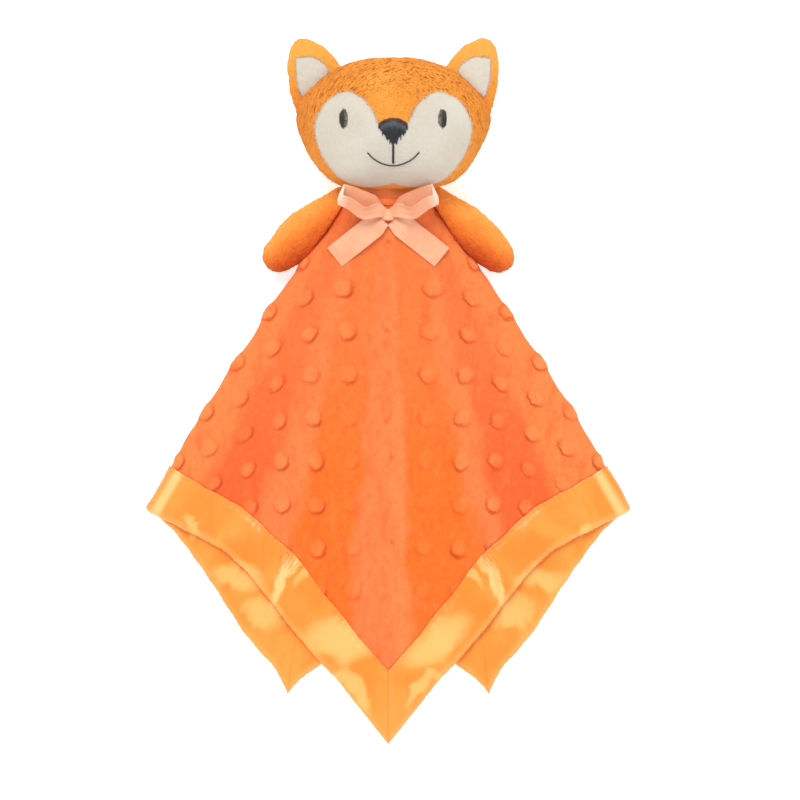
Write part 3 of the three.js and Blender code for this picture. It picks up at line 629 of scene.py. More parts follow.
def recalculate(piece):
    """Turns a closed piece's faces outwards."""
    pick(piece)
    bpy.ops.object.mode_set(mode="EDIT")
    bpy.ops.mesh.select_all(action="SELECT")
    bpy.ops.mesh.normals_make_consistent(inside=False)
    bpy.ops.object.mode_set(mode="OBJECT")


def closed_piece(name, points, faces, finish, rounded=True):
    """A mesh object like new_piece's, for a closed skin whose faces may point inwards."""
    piece = new_piece(name, points, faces, finish, rounded=rounded)
    recalculate(piece)
    return piece


def apply(piece, kind, **settings):
    """Adds a modifier to a piece and applies it."""
    pick(piece)
    modifier = piece.modifiers.new(kind.lower(), kind)
    for key, value in settings.items():
        setattr(modifier, key, value)
    bpy.ops.object.modifier_apply(modifier=modifier.name)


def cut_away(piece, tool):
    """Cuts one closed piece from another."""
    apply(piece, "BOOLEAN", operation="DIFFERENCE", object=tool, solver="EXACT")


def grid_faces(rows, columns, closed=False):
    """The quads of a grid of points, row by row."""
    place = np.arange(rows * columns).reshape(rows, columns)
    if closed:
        place = np.concatenate([place, place[:, :1]], axis=1)
    corners = [place[:-1, :-1], place[:-1, 1:], place[1:, 1:], place[1:, :-1]]
    return np.stack([corner.ravel() for corner in corners], axis=1)


def only_used(points, faces, *others):
    """The points that some quads use, those quads renumbered, and the points' other values."""
    used, faces = np.unique(faces, return_inverse=True)
    return [points[used], faces.reshape(-1, 4)] + [other[used] for other in others]


def lofted(rings, first, last):
    """Points and faces of a skin through rings, closed at both ends."""
    count = len(rings[0])
    points = np.concatenate([*rings, [first], [last]])
    faces = grid_faces(len(rings), count, closed=True).tolist()
    start, end = len(points) - 2, len(points) - 1
    top = (len(rings) - 1) * count
    for side in range(count):
        after = (side + 1) % count
        faces.append([start, after, side])
        faces.append([end, top + side, top + after])
    return points, faces


def run_along(line):
    """How far along a line each of its points is."""
    return np.concatenate([[0], np.cumsum(np.linalg.norm(np.diff(line, axis=0), axis=1))])


def leaning(angle, side):
    """The ways along and across a strip that leans from the toy's cross line."""
    lean = math.radians(angle)
    along = np.array([side * math.cos(lean), math.sin(lean), 0])
    across = np.array([-side * math.sin(lean), math.cos(lean), 0])
    return along, across


def hand_over(piece, body, slot, node):
    """Puts a finished piece on its body in the place of its solid."""
    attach(piece, body)
    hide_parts(node)


# Pile

TUFT_CORNERS = np.array([(0, 1, 2), (0, 2, 3), (0, 3, 1), (1, 3, 2)])


def scattered(points, triangles, count, seed):
    """Places spread evenly over triangles, with their normals."""
    draw = np.random.default_rng(seed)
    a, b, c = (points[triangles[:, corner]] for corner in range(3))
    cross = np.cross(b - a, c - a)
    area = np.linalg.norm(cross, axis=1)
    chosen = draw.choice(len(area), count, p=area / area.sum())
    u, v = draw.random((2, count, 1))
    u, v = np.where(u + v > 1, 1 - u, u), np.where(u + v > 1, 1 - v, v)
    places = a[chosen] + u * (b - a)[chosen] + v * (c - a)[chosen]
    return places, (cross / np.maximum(area, 1e-12)[:, None])[chosen]


def split_quads(faces):
    """Two triangles for each quad."""
    return np.concatenate([faces[:, [0, 1, 2]], faces[:, [0, 2, 3]]])


def tufts(places, normals, ways, length, width, lift, seed):
    """A small closed spike of pile at each place, leaning its way."""
    draw = np.random.default_rng(seed)
    count = len(places)
    ways = ways - (ways * normals).sum(axis=1, keepdims=True) * normals
    ways = ways + 0.15 * draw.normal(size=(count, 3)) * np.linalg.norm(ways, axis=1).mean()
    ways = unit(ways)
    beside = np.cross(normals, ways)
    size = length * draw.uniform(0.6, 1.25, (count, 1))
    half = width / 2 * draw.uniform(0.7, 1.2, (count, 1))
    root = places - normals * width * 0.35
    tip = places + ways * size + normals * size * lift * draw.uniform(0.5, 1.4, (count, 1))
    left, right = root - beside * half, root + beside * half
    ridge = root + normals * half * 0.7 - ways * half
    points = np.stack([tip, left, right, ridge], axis=1).reshape(-1, 3)
    faces = (TUFT_CORNERS[None] + 4 * np.arange(count)[:, None, None]).reshape(-1, 3)
    inwards = (np.cross(left - tip, right - tip) * (places - ridge)).sum(axis=1) < 0
    faces = faces.reshape(count, 4, 3)
    faces[inwards] = faces[inwards][:, :, ::-1]
    return points, faces.reshape(-1, 3)


def add_tufts(piece, parts, rounded=False):
    """Joins tufts or stitches, given as points and faces, to a finished piece."""
    finish = piece.data.materials[0]
    name = piece.name + "_pile"
    extras = [new_piece(name, *part, finish, rounded=rounded) for part in parts]
    pick(*extras, piece)
    bpy.ops.object.join()


def piece_points(piece):
    """A piece's points in millimetres round the gathering ring, and its triangles."""
    mesh = piece.data
    places = np.zeros(len(mesh.vertices) * 3)
    mesh.vertices.foreach_get("co", places)
    mesh.calc_loop_triangles()
    triangles = np.zeros(len(mesh.loop_triangles) * 3, int)
    mesh.loop_triangles.foreach_get("vertices", triangles)
    return places.reshape(-1, 3) / MM - (0, RING_Y, 0), triangles.reshape(-1, 3)


def comb_piece(piece, combing):
    """Writes where each point is along and across the pile."""
    places = combing(piece_points(piece)[0])
    layer = piece.data.attributes.new(COMB, "FLOAT_VECTOR", "POINT")
    layer.data.foreach_set("vector", np.ascontiguousarray(places, np.float32).ravel())


# ---------------------------------------------------------------- the cloth's lay
# The flat cloth is a square with its centre at 0, 0 and its front corner at +a, +b. A
# line on it straight out from the centre has an angle from the front corner's line. It
# lies in a direction of its own, in one of four layers, and goes round three folds.

CLOTH_HALF_SIDE = 200.0
GATHER = 16.0
PLY = 0.9
SATIN = 0.5
GAP = 0.3
BINDING = 23.5
LAYERS = 4
STACK_STEP = 2 * (PLY + SATIN) + 3 * GAP + 0.5
CLOTH_HALF = PLY + GAP / 2
BINDING_HALF = CLOTH_HALF + GAP + SATIN
RIPPLE = 5.5
RIPPLE_CRESTS = (0, 18.6, 41)
DROOP, DROOP_REACH = 0.85, 60
SIDE_SWELL = 2.0
MORPH = 66.0
SIDE_LAY = 32.3
RING_HALF_WIDTH, RING_HALF_HEIGHT, RING_HEIGHT = 19.0, 12.0, 17.0
FOLDS = ((45, 1), (98, -1), (138, 1))
FOLD_SPREAD = 1.8
LAY_ANGLES = (
    (0, 43.2, 46.8, 90, 96.2, 99.8, 136.2, 139.8, 180),
    (0, SIDE_LAY, SIDE_LAY, 7.8, 4, 4, 31, 31, 0),
)
TAKE_UPS = (
    (0, 6, -0.019), (11, 5, -0.01), (26, 9, 0.03), (45, 5, -0.008), (64, 12, -0.012), (90, 8, 0.066)
)
HEM_WAVE, HEM_WAVE_ANGLE = 0.001, 5.3

DOT_COLUMN, DOT_ROW, DOT_START = 20.0, 21.3, 80.0
DOT_RADIUS, DOT_HEIGHT = 5.1, 1.2

# The dots are worn flat along the toy's middle line, lower beside it near the front
# corner, and pressed on the layers folded under. The rest differ by up to DOT_SPREAD.
MIDDLE_DOTS, CORNER_DOTS, PRESSED_DOTS, DOT_SPREAD = 0.18, 0.4, 0.6, 0.3

# Painted light and shade across the front, from one side fold to the other: a painted highlight on
# the crests of its long ripples, painted shade in the hollows and on the slopes.
LIT_CREST, SHADED_HOLLOW, SHADED_SLOPE = linear(240, 126, 70), linear(242, 112, 36), linear(238, 98, 48)
MINKY_RIPPLE_SHADING = [
    (0.0, linear(240, 136, 74)),
    (0.08, linear(240, 134, 70)),
    (0.12, SHADED_SLOPE),
    (0.215, SHADED_SLOPE),
    (0.25, LIT_CREST),
    (0.305, LIT_CREST),
    (0.33, SHADED_HOLLOW),
    (0.425, SHADED_HOLLOW),
    (0.45, LIT_CREST),
    (0.506, LIT_CREST),
    (0.52, linear(243, 134, 76)),
    (0.53, linear(243, 132, 72)),
    (0.548, SHADED_HOLLOW),
    (0.655, SHADED_HOLLOW),
    (0.68, LIT_CREST),
    (0.715, LIT_CREST),
    (0.74, SHADED_SLOPE),
    (0.845, SHADED_SLOPE),
    (0.88, linear(240, 134, 70)),
    (1.0, linear(240, 136, 74)),
]


def hem_reach(angle):
    """The laid cloth's reach to its hem at an angle of the flat cloth, the share of the
    flat reach that this is, and the angle between that reach and the side's normal."""
    slant = np.radians(np.minimum(angle, 179.999) % 90 - 45)
    taken = sum(share * hump(angle, at, spread) for at, spread, share in TAKE_UPS)
    wave = np.sin(2 * math.pi * angle / HEM_WAVE_ANGLE) + np.sin(1.7 * math.pi * angle + 1) * 0.5
    taken = taken + HEM_WAVE * wave * step_between(angle, 0, 6)
    return (CLOTH_HALF_SIDE / np.cos(slant) - GATHER) * (1 - taken), 1 - taken, slant


def ripple_share(lay):
    """How high the long ripples stand in a direction of the laid cloth, from 0 to 1."""
    angle = lay * 45 / SIDE_LAY
    outer = angle > RIPPLE_CRESTS[1]
    start = np.where(outer, RIPPLE_CRESTS[1], RIPPLE_CRESTS[0])
    width = np.where(outer, RIPPLE_CRESTS[2] - RIPPLE_CRESTS[1], RIPPLE_CRESTS[1])
    return (1 + np.cos(2 * math.pi * (angle - start) / width)) / 2


def layer_height(level, lay, reach, hem, slant):
    """The height of a layer's middle: the stack's steps and its ripples, which die out
    downwards and droop towards the hem. The lowest layer sinks inside its binding."""
    lift_start = hem - BINDING * 4 / 3 / np.cos(slant)
    lift = step_between(reach, lift_start, hem - BINDING / np.cos(slant))
    drop = np.maximum(0, level + 1 - LAYERS) * (BINDING_HALF - CLOTH_HALF) * (1 - lift)
    carried = ((LAYERS - level) / (LAYERS - 1)) ** LAYERS
    droop = 1 - DROOP * step_between(reach, hem - DROOP_REACH, hem)
    ripple = RIPPLE * ripple_share(lay) * (reach / hem) * carried * droop
    return BINDING_HALF + STACK_STEP * (LAYERS - level) - drop + ripple


def laid(a, b):
    """Where points of the flat cloth's middle surface come to lie."""
    turn = (np.degrees(np.arctan2(b, a)) - 45 + 180) % 360 - 180
    side, angle = np.where(turn < 0, -1.0, 1.0), np.abs(turn)
    hem, kept, slant = hem_reach(angle)
    reach = np.maximum(0, np.hypot(a, b) - GATHER) * kept
    lay = np.interp(angle, *LAY_ANGLES)
    level, bulge = np.ones_like(angle), np.zeros_like(angle)
    for at, way in FOLDS:
        along = np.radians(90) * np.clip((angle - at) / FOLD_SPREAD, -1, 1)
        level = level + (1 + np.sin(along)) / 2
        bulge = bulge + way * np.cos(along)
    whole = np.floor(np.minimum(level, LAYERS - 1))
    upper = layer_height(whole, lay, reach, hem, slant)
    lower = layer_height(whole + 1, lay, reach, hem, slant)
    height = upper + (lower - upper) * (level - whole)
    morph = step_between(reach, 0, MORPH)
    out = morph * (upper - lower) / 2 * bulge
    swell = SIDE_SWELL * np.sin(math.pi * np.minimum(reach / hem, 1)) * (lay / SIDE_LAY) ** 2
    ring = np.radians(90) * (np.minimum(1, angle / 45) + np.maximum(0, angle - 45) / 135)
    lean = np.radians(lay)
    x = RING_HALF_WIDTH * np.sin(ring) + reach * np.sin(lean) + (out + swell) * np.cos(lean)
    y = -reach * np.cos(lean) + out * np.sin(lean)
    ring_z = RING_HEIGHT + RING_HALF_HEIGHT * np.cos(ring)
    return np.stack([side * x, y, ring_z + (height - ring_z) * morph], axis=-1)


def laid_frame(a, b, step=0.4):
    """The laid place and the outward normal of points of the flat cloth."""
    along_a = laid(a + step, b) - laid(a - step, b)
    along_b = laid(a, b + step) - laid(a, b - step)
    return laid(a, b), unit(np.cross(along_a, along_b))


def pattern_place(a, b):
    """Across and along the square's diagonal to its front corner."""
    return np.stack([b - a, a + b], axis=-1) / math.sqrt(2)


def hem_inset(a, b):
    """How far inside the flat cloth's hem places are."""
    return CLOTH_HALF_SIDE - np.maximum(np.abs(a), np.abs(b))


def tucked(a, b):
    """0 on the front layer and 1 on the layers folded under it."""
    return step_between(np.degrees(np.abs(np.arctan2(b - a, a + b))), 45, 49)


def dot_height(a, b):
    """How far the raised dots stand out, each with an uneven edge and a dimple."""
    place = pattern_place(a, b)
    column = np.round(place[..., 0] / DOT_COLUMN)
    row = np.round((place[..., 1] - DOT_START) / DOT_ROW)
    beside = place[..., 0] - column * DOT_COLUMN
    below = place[..., 1] - DOT_START - row * DOT_ROW
    away = np.hypot(beside, below) + 0.45 * waves(place, 4.5, 9)
    number = (column * 17 + row * 29) % 7 / 6
    share = (0.7 + DOT_SPREAD * number) * np.where(np.abs(column) < 0.5, MIDDLE_DOTS, 1.0)
    share = share * np.where((np.abs(column) < 1.5) & (row > 1.5), CORNER_DOTS, 1.0)
    edge = 1 - step_between(away, DOT_RADIUS - 3.0, DOT_RADIUS + 1.4)
    crown = 1 - 0.25 * (away / DOT_RADIUS) ** 2 - 0.2 * hump(away, 0, 1.4)
    inside = step_between(hem_inset(a, b), BINDING + 3, BINDING + 8)
    pressed = 1 - (1 - PRESSED_DOTS) * tucked(a, b)
    return DOT_HEIGHT * share * edge * crown * inside * pressed


GATHER_HOLE, GATHER_SPAN = 13.0, 70
FOLD_EDGE = 10


def cloth_lines(front_step, back_step):
    """Places of the grid's lines from the back hem to the front one, closer at the fold."""
    hem = CLOTH_HALF_SIDE - SATIN - GAP
    fold = np.arange(1 - FOLD_EDGE, FOLD_EDGE - 0.9, 1.0)
    back = np.linspace(-hem, -FOLD_EDGE, int((hem - FOLD_EDGE) / back_step))
    front = np.linspace(FOLD_EDGE, hem, int((hem - FOLD_EDGE) / front_step))
    return np.unique(np.round(np.concatenate([back, fold, front]), 4))


def gathered_grid(front_step, back_step):
    """The flat cloth's grid, with the lines round its centre drawn to the gather."""
    lines = cloth_lines(front_step, back_step)
    a, b = np.meshgrid(lines, lines, indexing="ij")
    most = np.maximum(np.abs(a), np.abs(b))
    radius = np.hypot(a, b)
    low = radius * GATHER_HOLE / np.maximum(most, 1e-6)
    high = radius * GATHER_SPAN / np.maximum(most, 1e-6)
    drawn = GATHER + (radius - low) / (high - low) * (high - GATHER)
    scale = np.where(most < GATHER_SPAN, drawn / np.maximum(radius, 1e-6), 1)
    faces = grid_faces(len(lines), len(lines))
    kept = most.ravel()[faces].min(axis=1) >= GATHER_HOLE - 0.01
    return a * scale, b * scale, faces[kept]


def cloth_ply(name, grid, offset, detail, finish, slot, node):
    """One ply of the laid cloth, on the side of its middle that the offset's sign says."""
    a, b, faces = grid
    place, normal = laid_frame(a, b)
    points = place + normal * (offset + detail)[..., None]
    points[..., 2] = np.maximum(points[..., 2], 0 if offset > 0 else PLY)
    flat = pattern_place(a, b).reshape(-1, 2)
    points, faces, flat = only_used(points.reshape(-1, 3), faces, flat)
    piece = new_piece(name, points, faces[:, ::-1] if offset > 0 else faces, finish, flat)
    apply(piece, "SOLIDIFY", thickness=PLY * MM, offset=-1)
    hand_over(piece, "blanket", slot, node)


def crumple(a, b):
    """Small soft folds of the plush, none at the binding's stitching."""
    place = pattern_place(a, b)
    inset = step_between(hem_inset(a, b), BINDING - 4, BINDING + 25)
    folded = 0.42 * waves(place, 10, 7) * tucked(a, b)
    return (0.45 * waves(place, 26, 3) + folded) * inset


def blanket():
    """The dotted face and, inside it, the lining with small creases inwards."""
    grid = gathered_grid(1.5, 3.0)
    raised = dot_height(grid[0], grid[1]) + crumple(grid[0], grid[1])
    cloth_ply("minky_face", grid, CLOTH_HALF, raised, MINKY, "minky", "blanket_minky_face")
    grid = gathered_grid(3.0, 3.4)
    creases = np.abs(waves(pattern_place(grid[0], grid[1]), 9, 4))
    open_cloth = step_between(hem_inset(grid[0], grid[1]), BINDING - 2, BINDING + 7)
    creases = creases * (0.12 + 0.8 * open_cloth)
    creased = np.minimum(0, crumple(grid[0], grid[1])) + 0.15 - creases
    cloth_ply("cloth_lining", grid, -CLOTH_HALF, creased, LINING, "lining", "blanket_lining")


# ---------------------------------------------------------------- satin binding

HEM_TURN, HEM_TURN_REACH = 1.8, 1.55
STITCH_INSET, STITCH_PITCH = 22.0, 3.0
STITCH_LENGTH, STITCH_HALF_WIDTH, STITCH_RISE, STITCH_SINK = 2.2, 0.24, 0.2, 0.06
PINCH_RUN, PINCH_LEAN, PINCH_PITCH = 93.0, 9.0, 3.4
UNDER_SWELL, TUCKED_SWELL = 0.25, 0.25
MITRE_LAP = 0.15


def binding_section():
    """Inset from the hem and offset from the cloth's middle, from the front edge round
    the hem to the back edge."""
    middle = BINDING_HALF - SATIN / 2
    top = [(inset, middle) for inset in np.linspace(BINDING, HEM_TURN, 24)]
    turn = [
        (HEM_TURN - HEM_TURN_REACH * math.cos(angle), middle * math.sin(angle))
        for angle in np.radians(np.linspace(75, -75, 7))
    ]
    below = [(inset, -middle) for inset in np.linspace(HEM_TURN, BINDING, 15)]
    return np.array(top + turn + below)


def satin_swell(strip, seed, front):
    """How far the satin stands out: gathers at its stitching and drag folds beyond. The
    front strips are also pinched at one place of their seam."""
    run, inset = strip[..., 0], strip[..., 1]
    at_seam = hump(inset, BINDING, 5)
    open_share = step_between(inset, 0, 5) * (1 - at_seam)
    slanted = strip @ np.array([(1.0, 0.35), (0.5, 0.55)])
    swell = waves(strip * (1, 0.22), 4.2, seed) * 0.22 * at_seam
    swell = swell + waves(slanted, 26, seed + 1) * 0.8 * open_share
    crease = (1 - np.minimum(1, np.abs(waves(slanted, 30, seed + 2)) * 1.6)) ** 2
    swell = swell + 0.4 * crease * open_share
    if front:
        pinched = hump(run, PINCH_RUN, 7) * hump(inset, BINDING, 9)
        swell = swell + 0.5 * np.sin(run * 2 * math.pi / PINCH_PITCH) * pinched
        beside = run - PINCH_RUN - PINCH_LEAN * (1 - inset / BINDING)
        ridge = 1.5 * hump(beside, 0, 2.2) - 0.8 * hump(beside, 5, 3)
        swell = swell + ridge * step_between(inset, 1, 8)
    trough = hump(inset, STITCH_INSET, 1.0)
    mitre = step_between(CLOTH_HALF_SIDE - inset - np.abs(run), 0, 8)
    return np.maximum(0.3 + swell * mitre - 0.5 * trough, -0.15)


def widened(run, inset, front):
    """The front strips reach further in towards the front corner."""
    more = 2.4 * step_between(run, 50, 110)
    more = more + 2.2 * hump(run, 102, 14) - hump(run, 150, 14) + 1.6 * hump(run, 0, 24)
    return inset * (1 + front * more / BINDING)


def freedom(a, b):
    """How freely the satin's upper face swells: little on the layers folded under."""
    return 1 - (1 - TUCKED_SWELL) * tucked(a, b)


def binding(name, corner_place, node, seed, front, lift):
    """One strip of satin folded round a side of the cloth, mitred at its corners."""
    section = binding_section()
    steps = np.linspace(-1, 1, 361)
    inset, offset = section[:, :1], section[:, 1:]
    run = steps[None, :] * (CLOTH_HALF_SIDE - inset)
    strip = np.stack([run, inset + 0 * run], axis=-1)
    wide = widened(run, inset, front)
    run = steps[None, :] * (CLOTH_HALF_SIDE - wide + MITRE_LAP)
    a, b = corner_place(CLOTH_HALF_SIDE - wide, run)
    place, normal = laid_frame(a, b)
    above, under = step_between(offset, 0.9, 1.5), step_between(-offset, 0.9, 1.5)
    held = above * freedom(a, b) - under * UNDER_SWELL
    swell = held * satin_swell(strip, seed, front)
    lapped = lift * (above - under) * step_between(np.abs(steps), 0.9, 0.97)
    points = place + normal * (offset + swell + lapped)[..., None]
    points[..., 2] = np.maximum(points[..., 2], SATIN / 2)
    faces = grid_faces(*points.shape[:2])
    piece = new_piece(name, points, faces, SATIN_CLOTH, pattern_place(a, b))
    apply(piece, "SOLIDIFY", thickness=SATIN * MM, offset=0)
    add_tufts(piece, topstitches(corner_place, seed, front), True)
    hand_over(piece, "blanket", "satin", node)


def topstitches(corner_place, seed, front):
    """The stitches that hold the satin, on both faces of the cloth."""
    reach = CLOTH_HALF_SIDE - STITCH_INSET - 2
    middles = np.arange(-reach, reach, STITCH_PITCH)
    shape, faces = stitch_form()
    parts = []
    for face in (1, -1):
        run = middles[:, None] + shape[None, :, 0] * STITCH_LENGTH / 2
        inset = STITCH_INSET + shape[None, :, 1] * STITCH_HALF_WIDTH + 0 * run
        strip = np.stack([run, inset], axis=-1)
        a, b = corner_place(CLOTH_HALF_SIDE - widened(run, inset, front), run)
        place, normal = laid_frame(a, b)
        free = freedom(a, b) if face > 0 else UNDER_SWELL
        swell = satin_swell(strip, seed, front) * free
        height = BINDING_HALF - STITCH_SINK + swell + shape[None, :, 2] * STITCH_RISE
        points = (place + normal * (face * height)[..., None]).reshape(-1, 3)
        points[:, 2] = np.maximum(points[:, 2], 0.05)
        count = len(middles)
        every = (faces[None] + len(shape) * np.arange(count)[:, None, None]).reshape(-1, 4)
        parts.append((points, every if face > 0 else every[:, ::-1]))
    return parts


STITCH_RINGS = (
    (-1, 0.02, 1.6), (-0.9, 0.6, 1.0), (-0.5, 1, 0), (0.5, 1, 0), (0.9, 0.6, 1.0), (1, 0.02, 1.6)
)


def stitch_form():
    """A stitch as a small closed rod of length and width 2, its ends drawn in. Each ring
    has a place along it, a size and a drop."""
    turn = np.linspace(0, 2 * math.pi, 6, endpoint=False)
    rings = [
        np.stack([0 * turn + place, np.cos(turn) * size, np.sin(turn) * size - drop], axis=-1)
        for place, size, drop in STITCH_RINGS
    ]
    faces = grid_faces(len(rings), len(turn), closed=True)
    return np.concatenate(rings), faces[:, ::-1]


def bindings():
    for name, corner_place, seed, front, lift in (
        ("front_right", lambda away, run: (run, away), 11, True, 0.08),
        ("front_left", lambda away, run: (away, run), 23, True, 0),
        ("back_right", lambda away, run: (-away, run), 37, False, 0),
        ("back_left", lambda away, run: (run, -away), 41, False, 0.08),
    ):
        binding("satin_" + name, corner_place, "binding_" + name, seed, front, lift)


# ---------------------------------------------------------------- head

HEAD_HALF = np.array([47.2, 33.3, 27.0])
HEAD_MEAN_HALF = 35
HEAD_CENTRE = np.array([2.5, 37.9, 26.5])
PLUSH = 1.6
HEAD_SLACK = 2.4
MUZZLE = 3.0
HEAD_POWER = 2.3
WHORL_DROP = 9
FAR = 99.0
HEAD_GRID, EAR_GRID, TOOL_GRID, FIBRE_GRID = 100, 44, 30, 24

HEAD_LINE = [(0, 0.955), (0.2, 0.945), (0.36, 0.905), (0.5, 0.855), (0.62, 0.785), (0.73, 0.685),
             (0.83, 0.55), (0.92, 0.42), (0.98, 0.28), (1.01, 0.12), (1.01, -0.02), (0.985, -0.15),
             (0.95, -0.28), (0.905, -0.42), (0.855, -0.55), (0.8, -0.66), (0.745, -0.75),
             (0.67, -0.85), (0.57, -0.93), (0.42, -0.985), (0.2, -1.0), (0, -1.0)]
MASK = [(0, -0.2), (0.15, -0.06), (0.24, 0.18), (0.335, 0.32), (0.48, 0.41), (0.64, 0.33),
        (0.755, 0.15), (0.82, -0.12), (0.765, -0.46), (0.64, -0.73), (0.5, -0.9),
        (0.32, -0.972), (0.13, -0.974), (0, -0.93)]
EAR = [(0.6, 0.1), (0.94, -0.1), (1.02, 0.16), (1.08, 0.45), (1.11, 0.82), (1.09, 1.05),
       (1.04, 1.19), (0.965, 1.245), (0.89, 1.24), (0.81, 1.185), (0.73, 1.115), (0.65, 1.0),
       (0.585, 0.88), (0.45, 0.6)]
EAR_PANEL = [(1.02, 0.9), (1.0, 0.94), (0.83, 0.945), (0.69, 0.76), (0.8, 0.5),
             (0.945, 0.38), (0.985, 0.48), (1.015, 0.68)]


def curve_through(shares, steps, closed):
    """A smooth line through places given as shares of the head's half sizes."""
    points = np.array(shares, float)
    count = len(points)
    spans = count if closed else count - 1
    line = []
    for span in range(spans):
        index = [span - 1, span, span + 1, span + 2]
        index = [i % count if closed else min(max(i, 0), count - 1) for i in index]
        before, start, end, after = points[index]
        for share in np.arange(steps) / steps:
            line.append(
                0.5 * (2 * start + (end - before) * share
                       + (2 * before - 5 * start + 4 * end - after) * share**2
                       + (3 * start - before - 3 * end + after) * share**3)
            )
    if not closed:
        line.append(points[-1])
    return np.array(line)


def mirrored_outline(shares, steps):
    """A closed smooth line from its right half, which starts and ends on the middle."""
    half = curve_through(shares, steps, False)
    return np.concatenate([half, (half * (-1, 1))[-2:0:-1]])


def polar_radius(line, middle=(0, 0)):
    """The angles of a line's points round a middle place, over three turns, and how far
    they are from it."""
    spokes = line - np.array(middle)
    angle = np.arctan2(spokes[:, 1], spokes[:, 0])
    order = np.argsort(angle)
    angle, radius = angle[order], np.hypot(*spokes[order].T)
    turned = [angle - 2 * math.pi, angle, angle + 2 * math.pi]
    return np.concatenate(turned), np.tile(radius, 3)


OUTLINE = polar_radius(mirrored_outline(HEAD_LINE, 20))


def form_share(x, y, z):
    """1 at the surface of the head's form, less inside it and more outside it."""
    edge = np.interp(np.arctan2(y, x), *OUTLINE)
    return (np.hypot(x, y) / edge) ** HEAD_POWER + np.abs(z) ** HEAD_POWER


def head_place(x, y, z, grow=0.0):
    """Places given in shares of the head's half sizes, raised at the muzzle."""
    place = np.stack([x, y, z], axis=-1) * (HEAD_HALF + grow)
    bulge = np.exp(-((x / 0.45) ** 2 + ((y + 0.34) / 0.42) ** 2))
    place[..., 2] += MUZZLE * np.maximum(0, z) * bulge
    return place + HEAD_CENTRE


def head_point(direction, grow=0.0):
    """The head's surface in a direction given in shares of its half sizes."""
    x, y, z = direction[..., 0], direction[..., 1], direction[..., 2]
    size = form_share(x, y, z) ** (-1 / HEAD_POWER)
    return head_place(x * size, y * size, z * size, grow)


def head_front(x, y):
    """The head's front surface above a place given in shares."""
    return head_place(x, y, np.maximum(0, 1 - form_share(x, y, 0)) ** (1 / HEAD_POWER))


def head_depth(places):
    """About how far places are outside the head's form, in millimetres."""
    share = (places - HEAD_CENTRE) / HEAD_HALF
    size = form_share(share[:, 0], share[:, 1], share[:, 2]) ** (1 / HEAD_POWER)
    return (size - 1) * HEAD_MEAN_HALF


FACE_SKIN = []


def on_skin(x, y, rise=0.0):
    """The finished face straight above or below places given in shares."""
    places = []
    for share in np.stack([np.ravel(x), np.ravel(y)], axis=-1):
        spot = share * HEAD_HALF[:2] + HEAD_CENTRE[:2]
        hit = FACE_SKIN[0].ray_cast(Vector((*spot, 200)), Vector((0, 0, -1)))[0]
        if hit is None:
            hit = FACE_SKIN[0].find_nearest(Vector((*spot, HEAD_CENTRE[2])))[0]
        places.append((hit.x, hit.y, hit.z + rise))
    return np.array(places)


def cube_sphere(count):
    """Directions and quads of a ball made from a cube's grid, even all over."""
    line = np.tan(np.linspace(-1, 1, count + 1) * math.pi / 4)
    u, v = np.meshgrid(line, line, indexing="ij")
    one = np.ones_like(u)
    sides = [(u, v, one), (v, u, -one), (one, u, v), (-one, v, u), (v, one, u), (u, -one, v)]
    points = np.concatenate([np.stack(side, axis=-1).reshape(-1, 3) for side in sides])
    faces = np.concatenate(
        [grid_faces(count + 1, count + 1) + number * (count + 1) ** 2 for number in range(6)]
    )
    points /= np.linalg.norm(points, axis=1, keepdims=True)
    _, first, back = np.unique(
        np.round(points, 6), axis=0, return_index=True, return_inverse=True
    )
    points, faces = points[first], back.reshape(-1)[faces]
    middle = points[faces].mean(axis=1)
    normal = np.cross(points[faces[:, 1]] - points[faces[:, 0]],
                      points[faces[:, 3]] - points[faces[:, 0]])
    wrong = (middle * normal).sum(axis=1) < 0
    faces[wrong] = faces[wrong][:, ::-1]
    return points, faces


def line_distance(places, line):
    """Distance from places to a closed line, and the nearest place on it."""
    starts, ends = line, np.roll(line, -1, axis=0)
    run = ends - starts
    best = np.full(len(places), np.inf)
    nearest = np.zeros_like(places)
    for start, step in zip(starts, run):
        share = np.clip(((places - start) @ step) / max(step @ step, 1e-12), 0, 1)
        spot = start + share[:, None] * step
        away = np.linalg.norm(places - spot, axis=1)
        closer = away < best
        best[closer], nearest[closer] = away[closer], spot[closer]
    return best, nearest


def inside_line(places, line):
    """Whether places are inside a closed line."""
    ends = np.roll(line, -1, axis=0)
    within = np.zeros(len(places), bool)
    for start, end in zip(line, ends):
        crosses = (start[1] > places[:, 1]) != (end[1] > places[:, 1])
        if not crosses.any():
            continue
        at = start[0] + (places[:, 1] - start[1]) * (end[0] - start[0]) / (end[1] - start[1])
        within ^= crosses & (places[:, 0] < at)
    return within


def point_normals(points, faces):
    """The outward ways at points, from the quads round them."""
    across = points[faces[:, 2]] - points[faces[:, 0]]
    along = points[faces[:, 3]] - points[faces[:, 1]]
    flat = np.cross(across, along)
    total = np.zeros_like(points)
    for corner in range(4):
        np.add.at(total, faces[:, corner], flat)
    return unit(total)


def seam_dip(away, depth, width):
    """How deep the surface dips towards a seam."""
    return -depth * hump(away, 0, width)


def panel_edge(points, faces, masked, shown, line):
    """The points between a panel's faces and the rest, the places on the panel's line
    nearest to all points, and how far the shown points are from that line."""
    touched = np.zeros(len(points), int)
    np.bitwise_or.at(touched, faces[masked].ravel(), 1)
    np.bitwise_or.at(touched, faces[~masked].ravel(), 2)
    edge = touched == 3
    away, nearest = line_distance(points[:, :2], line)
    away = np.where(shown, away, FAR)
    away[edge] = 0
    return edge, nearest, away


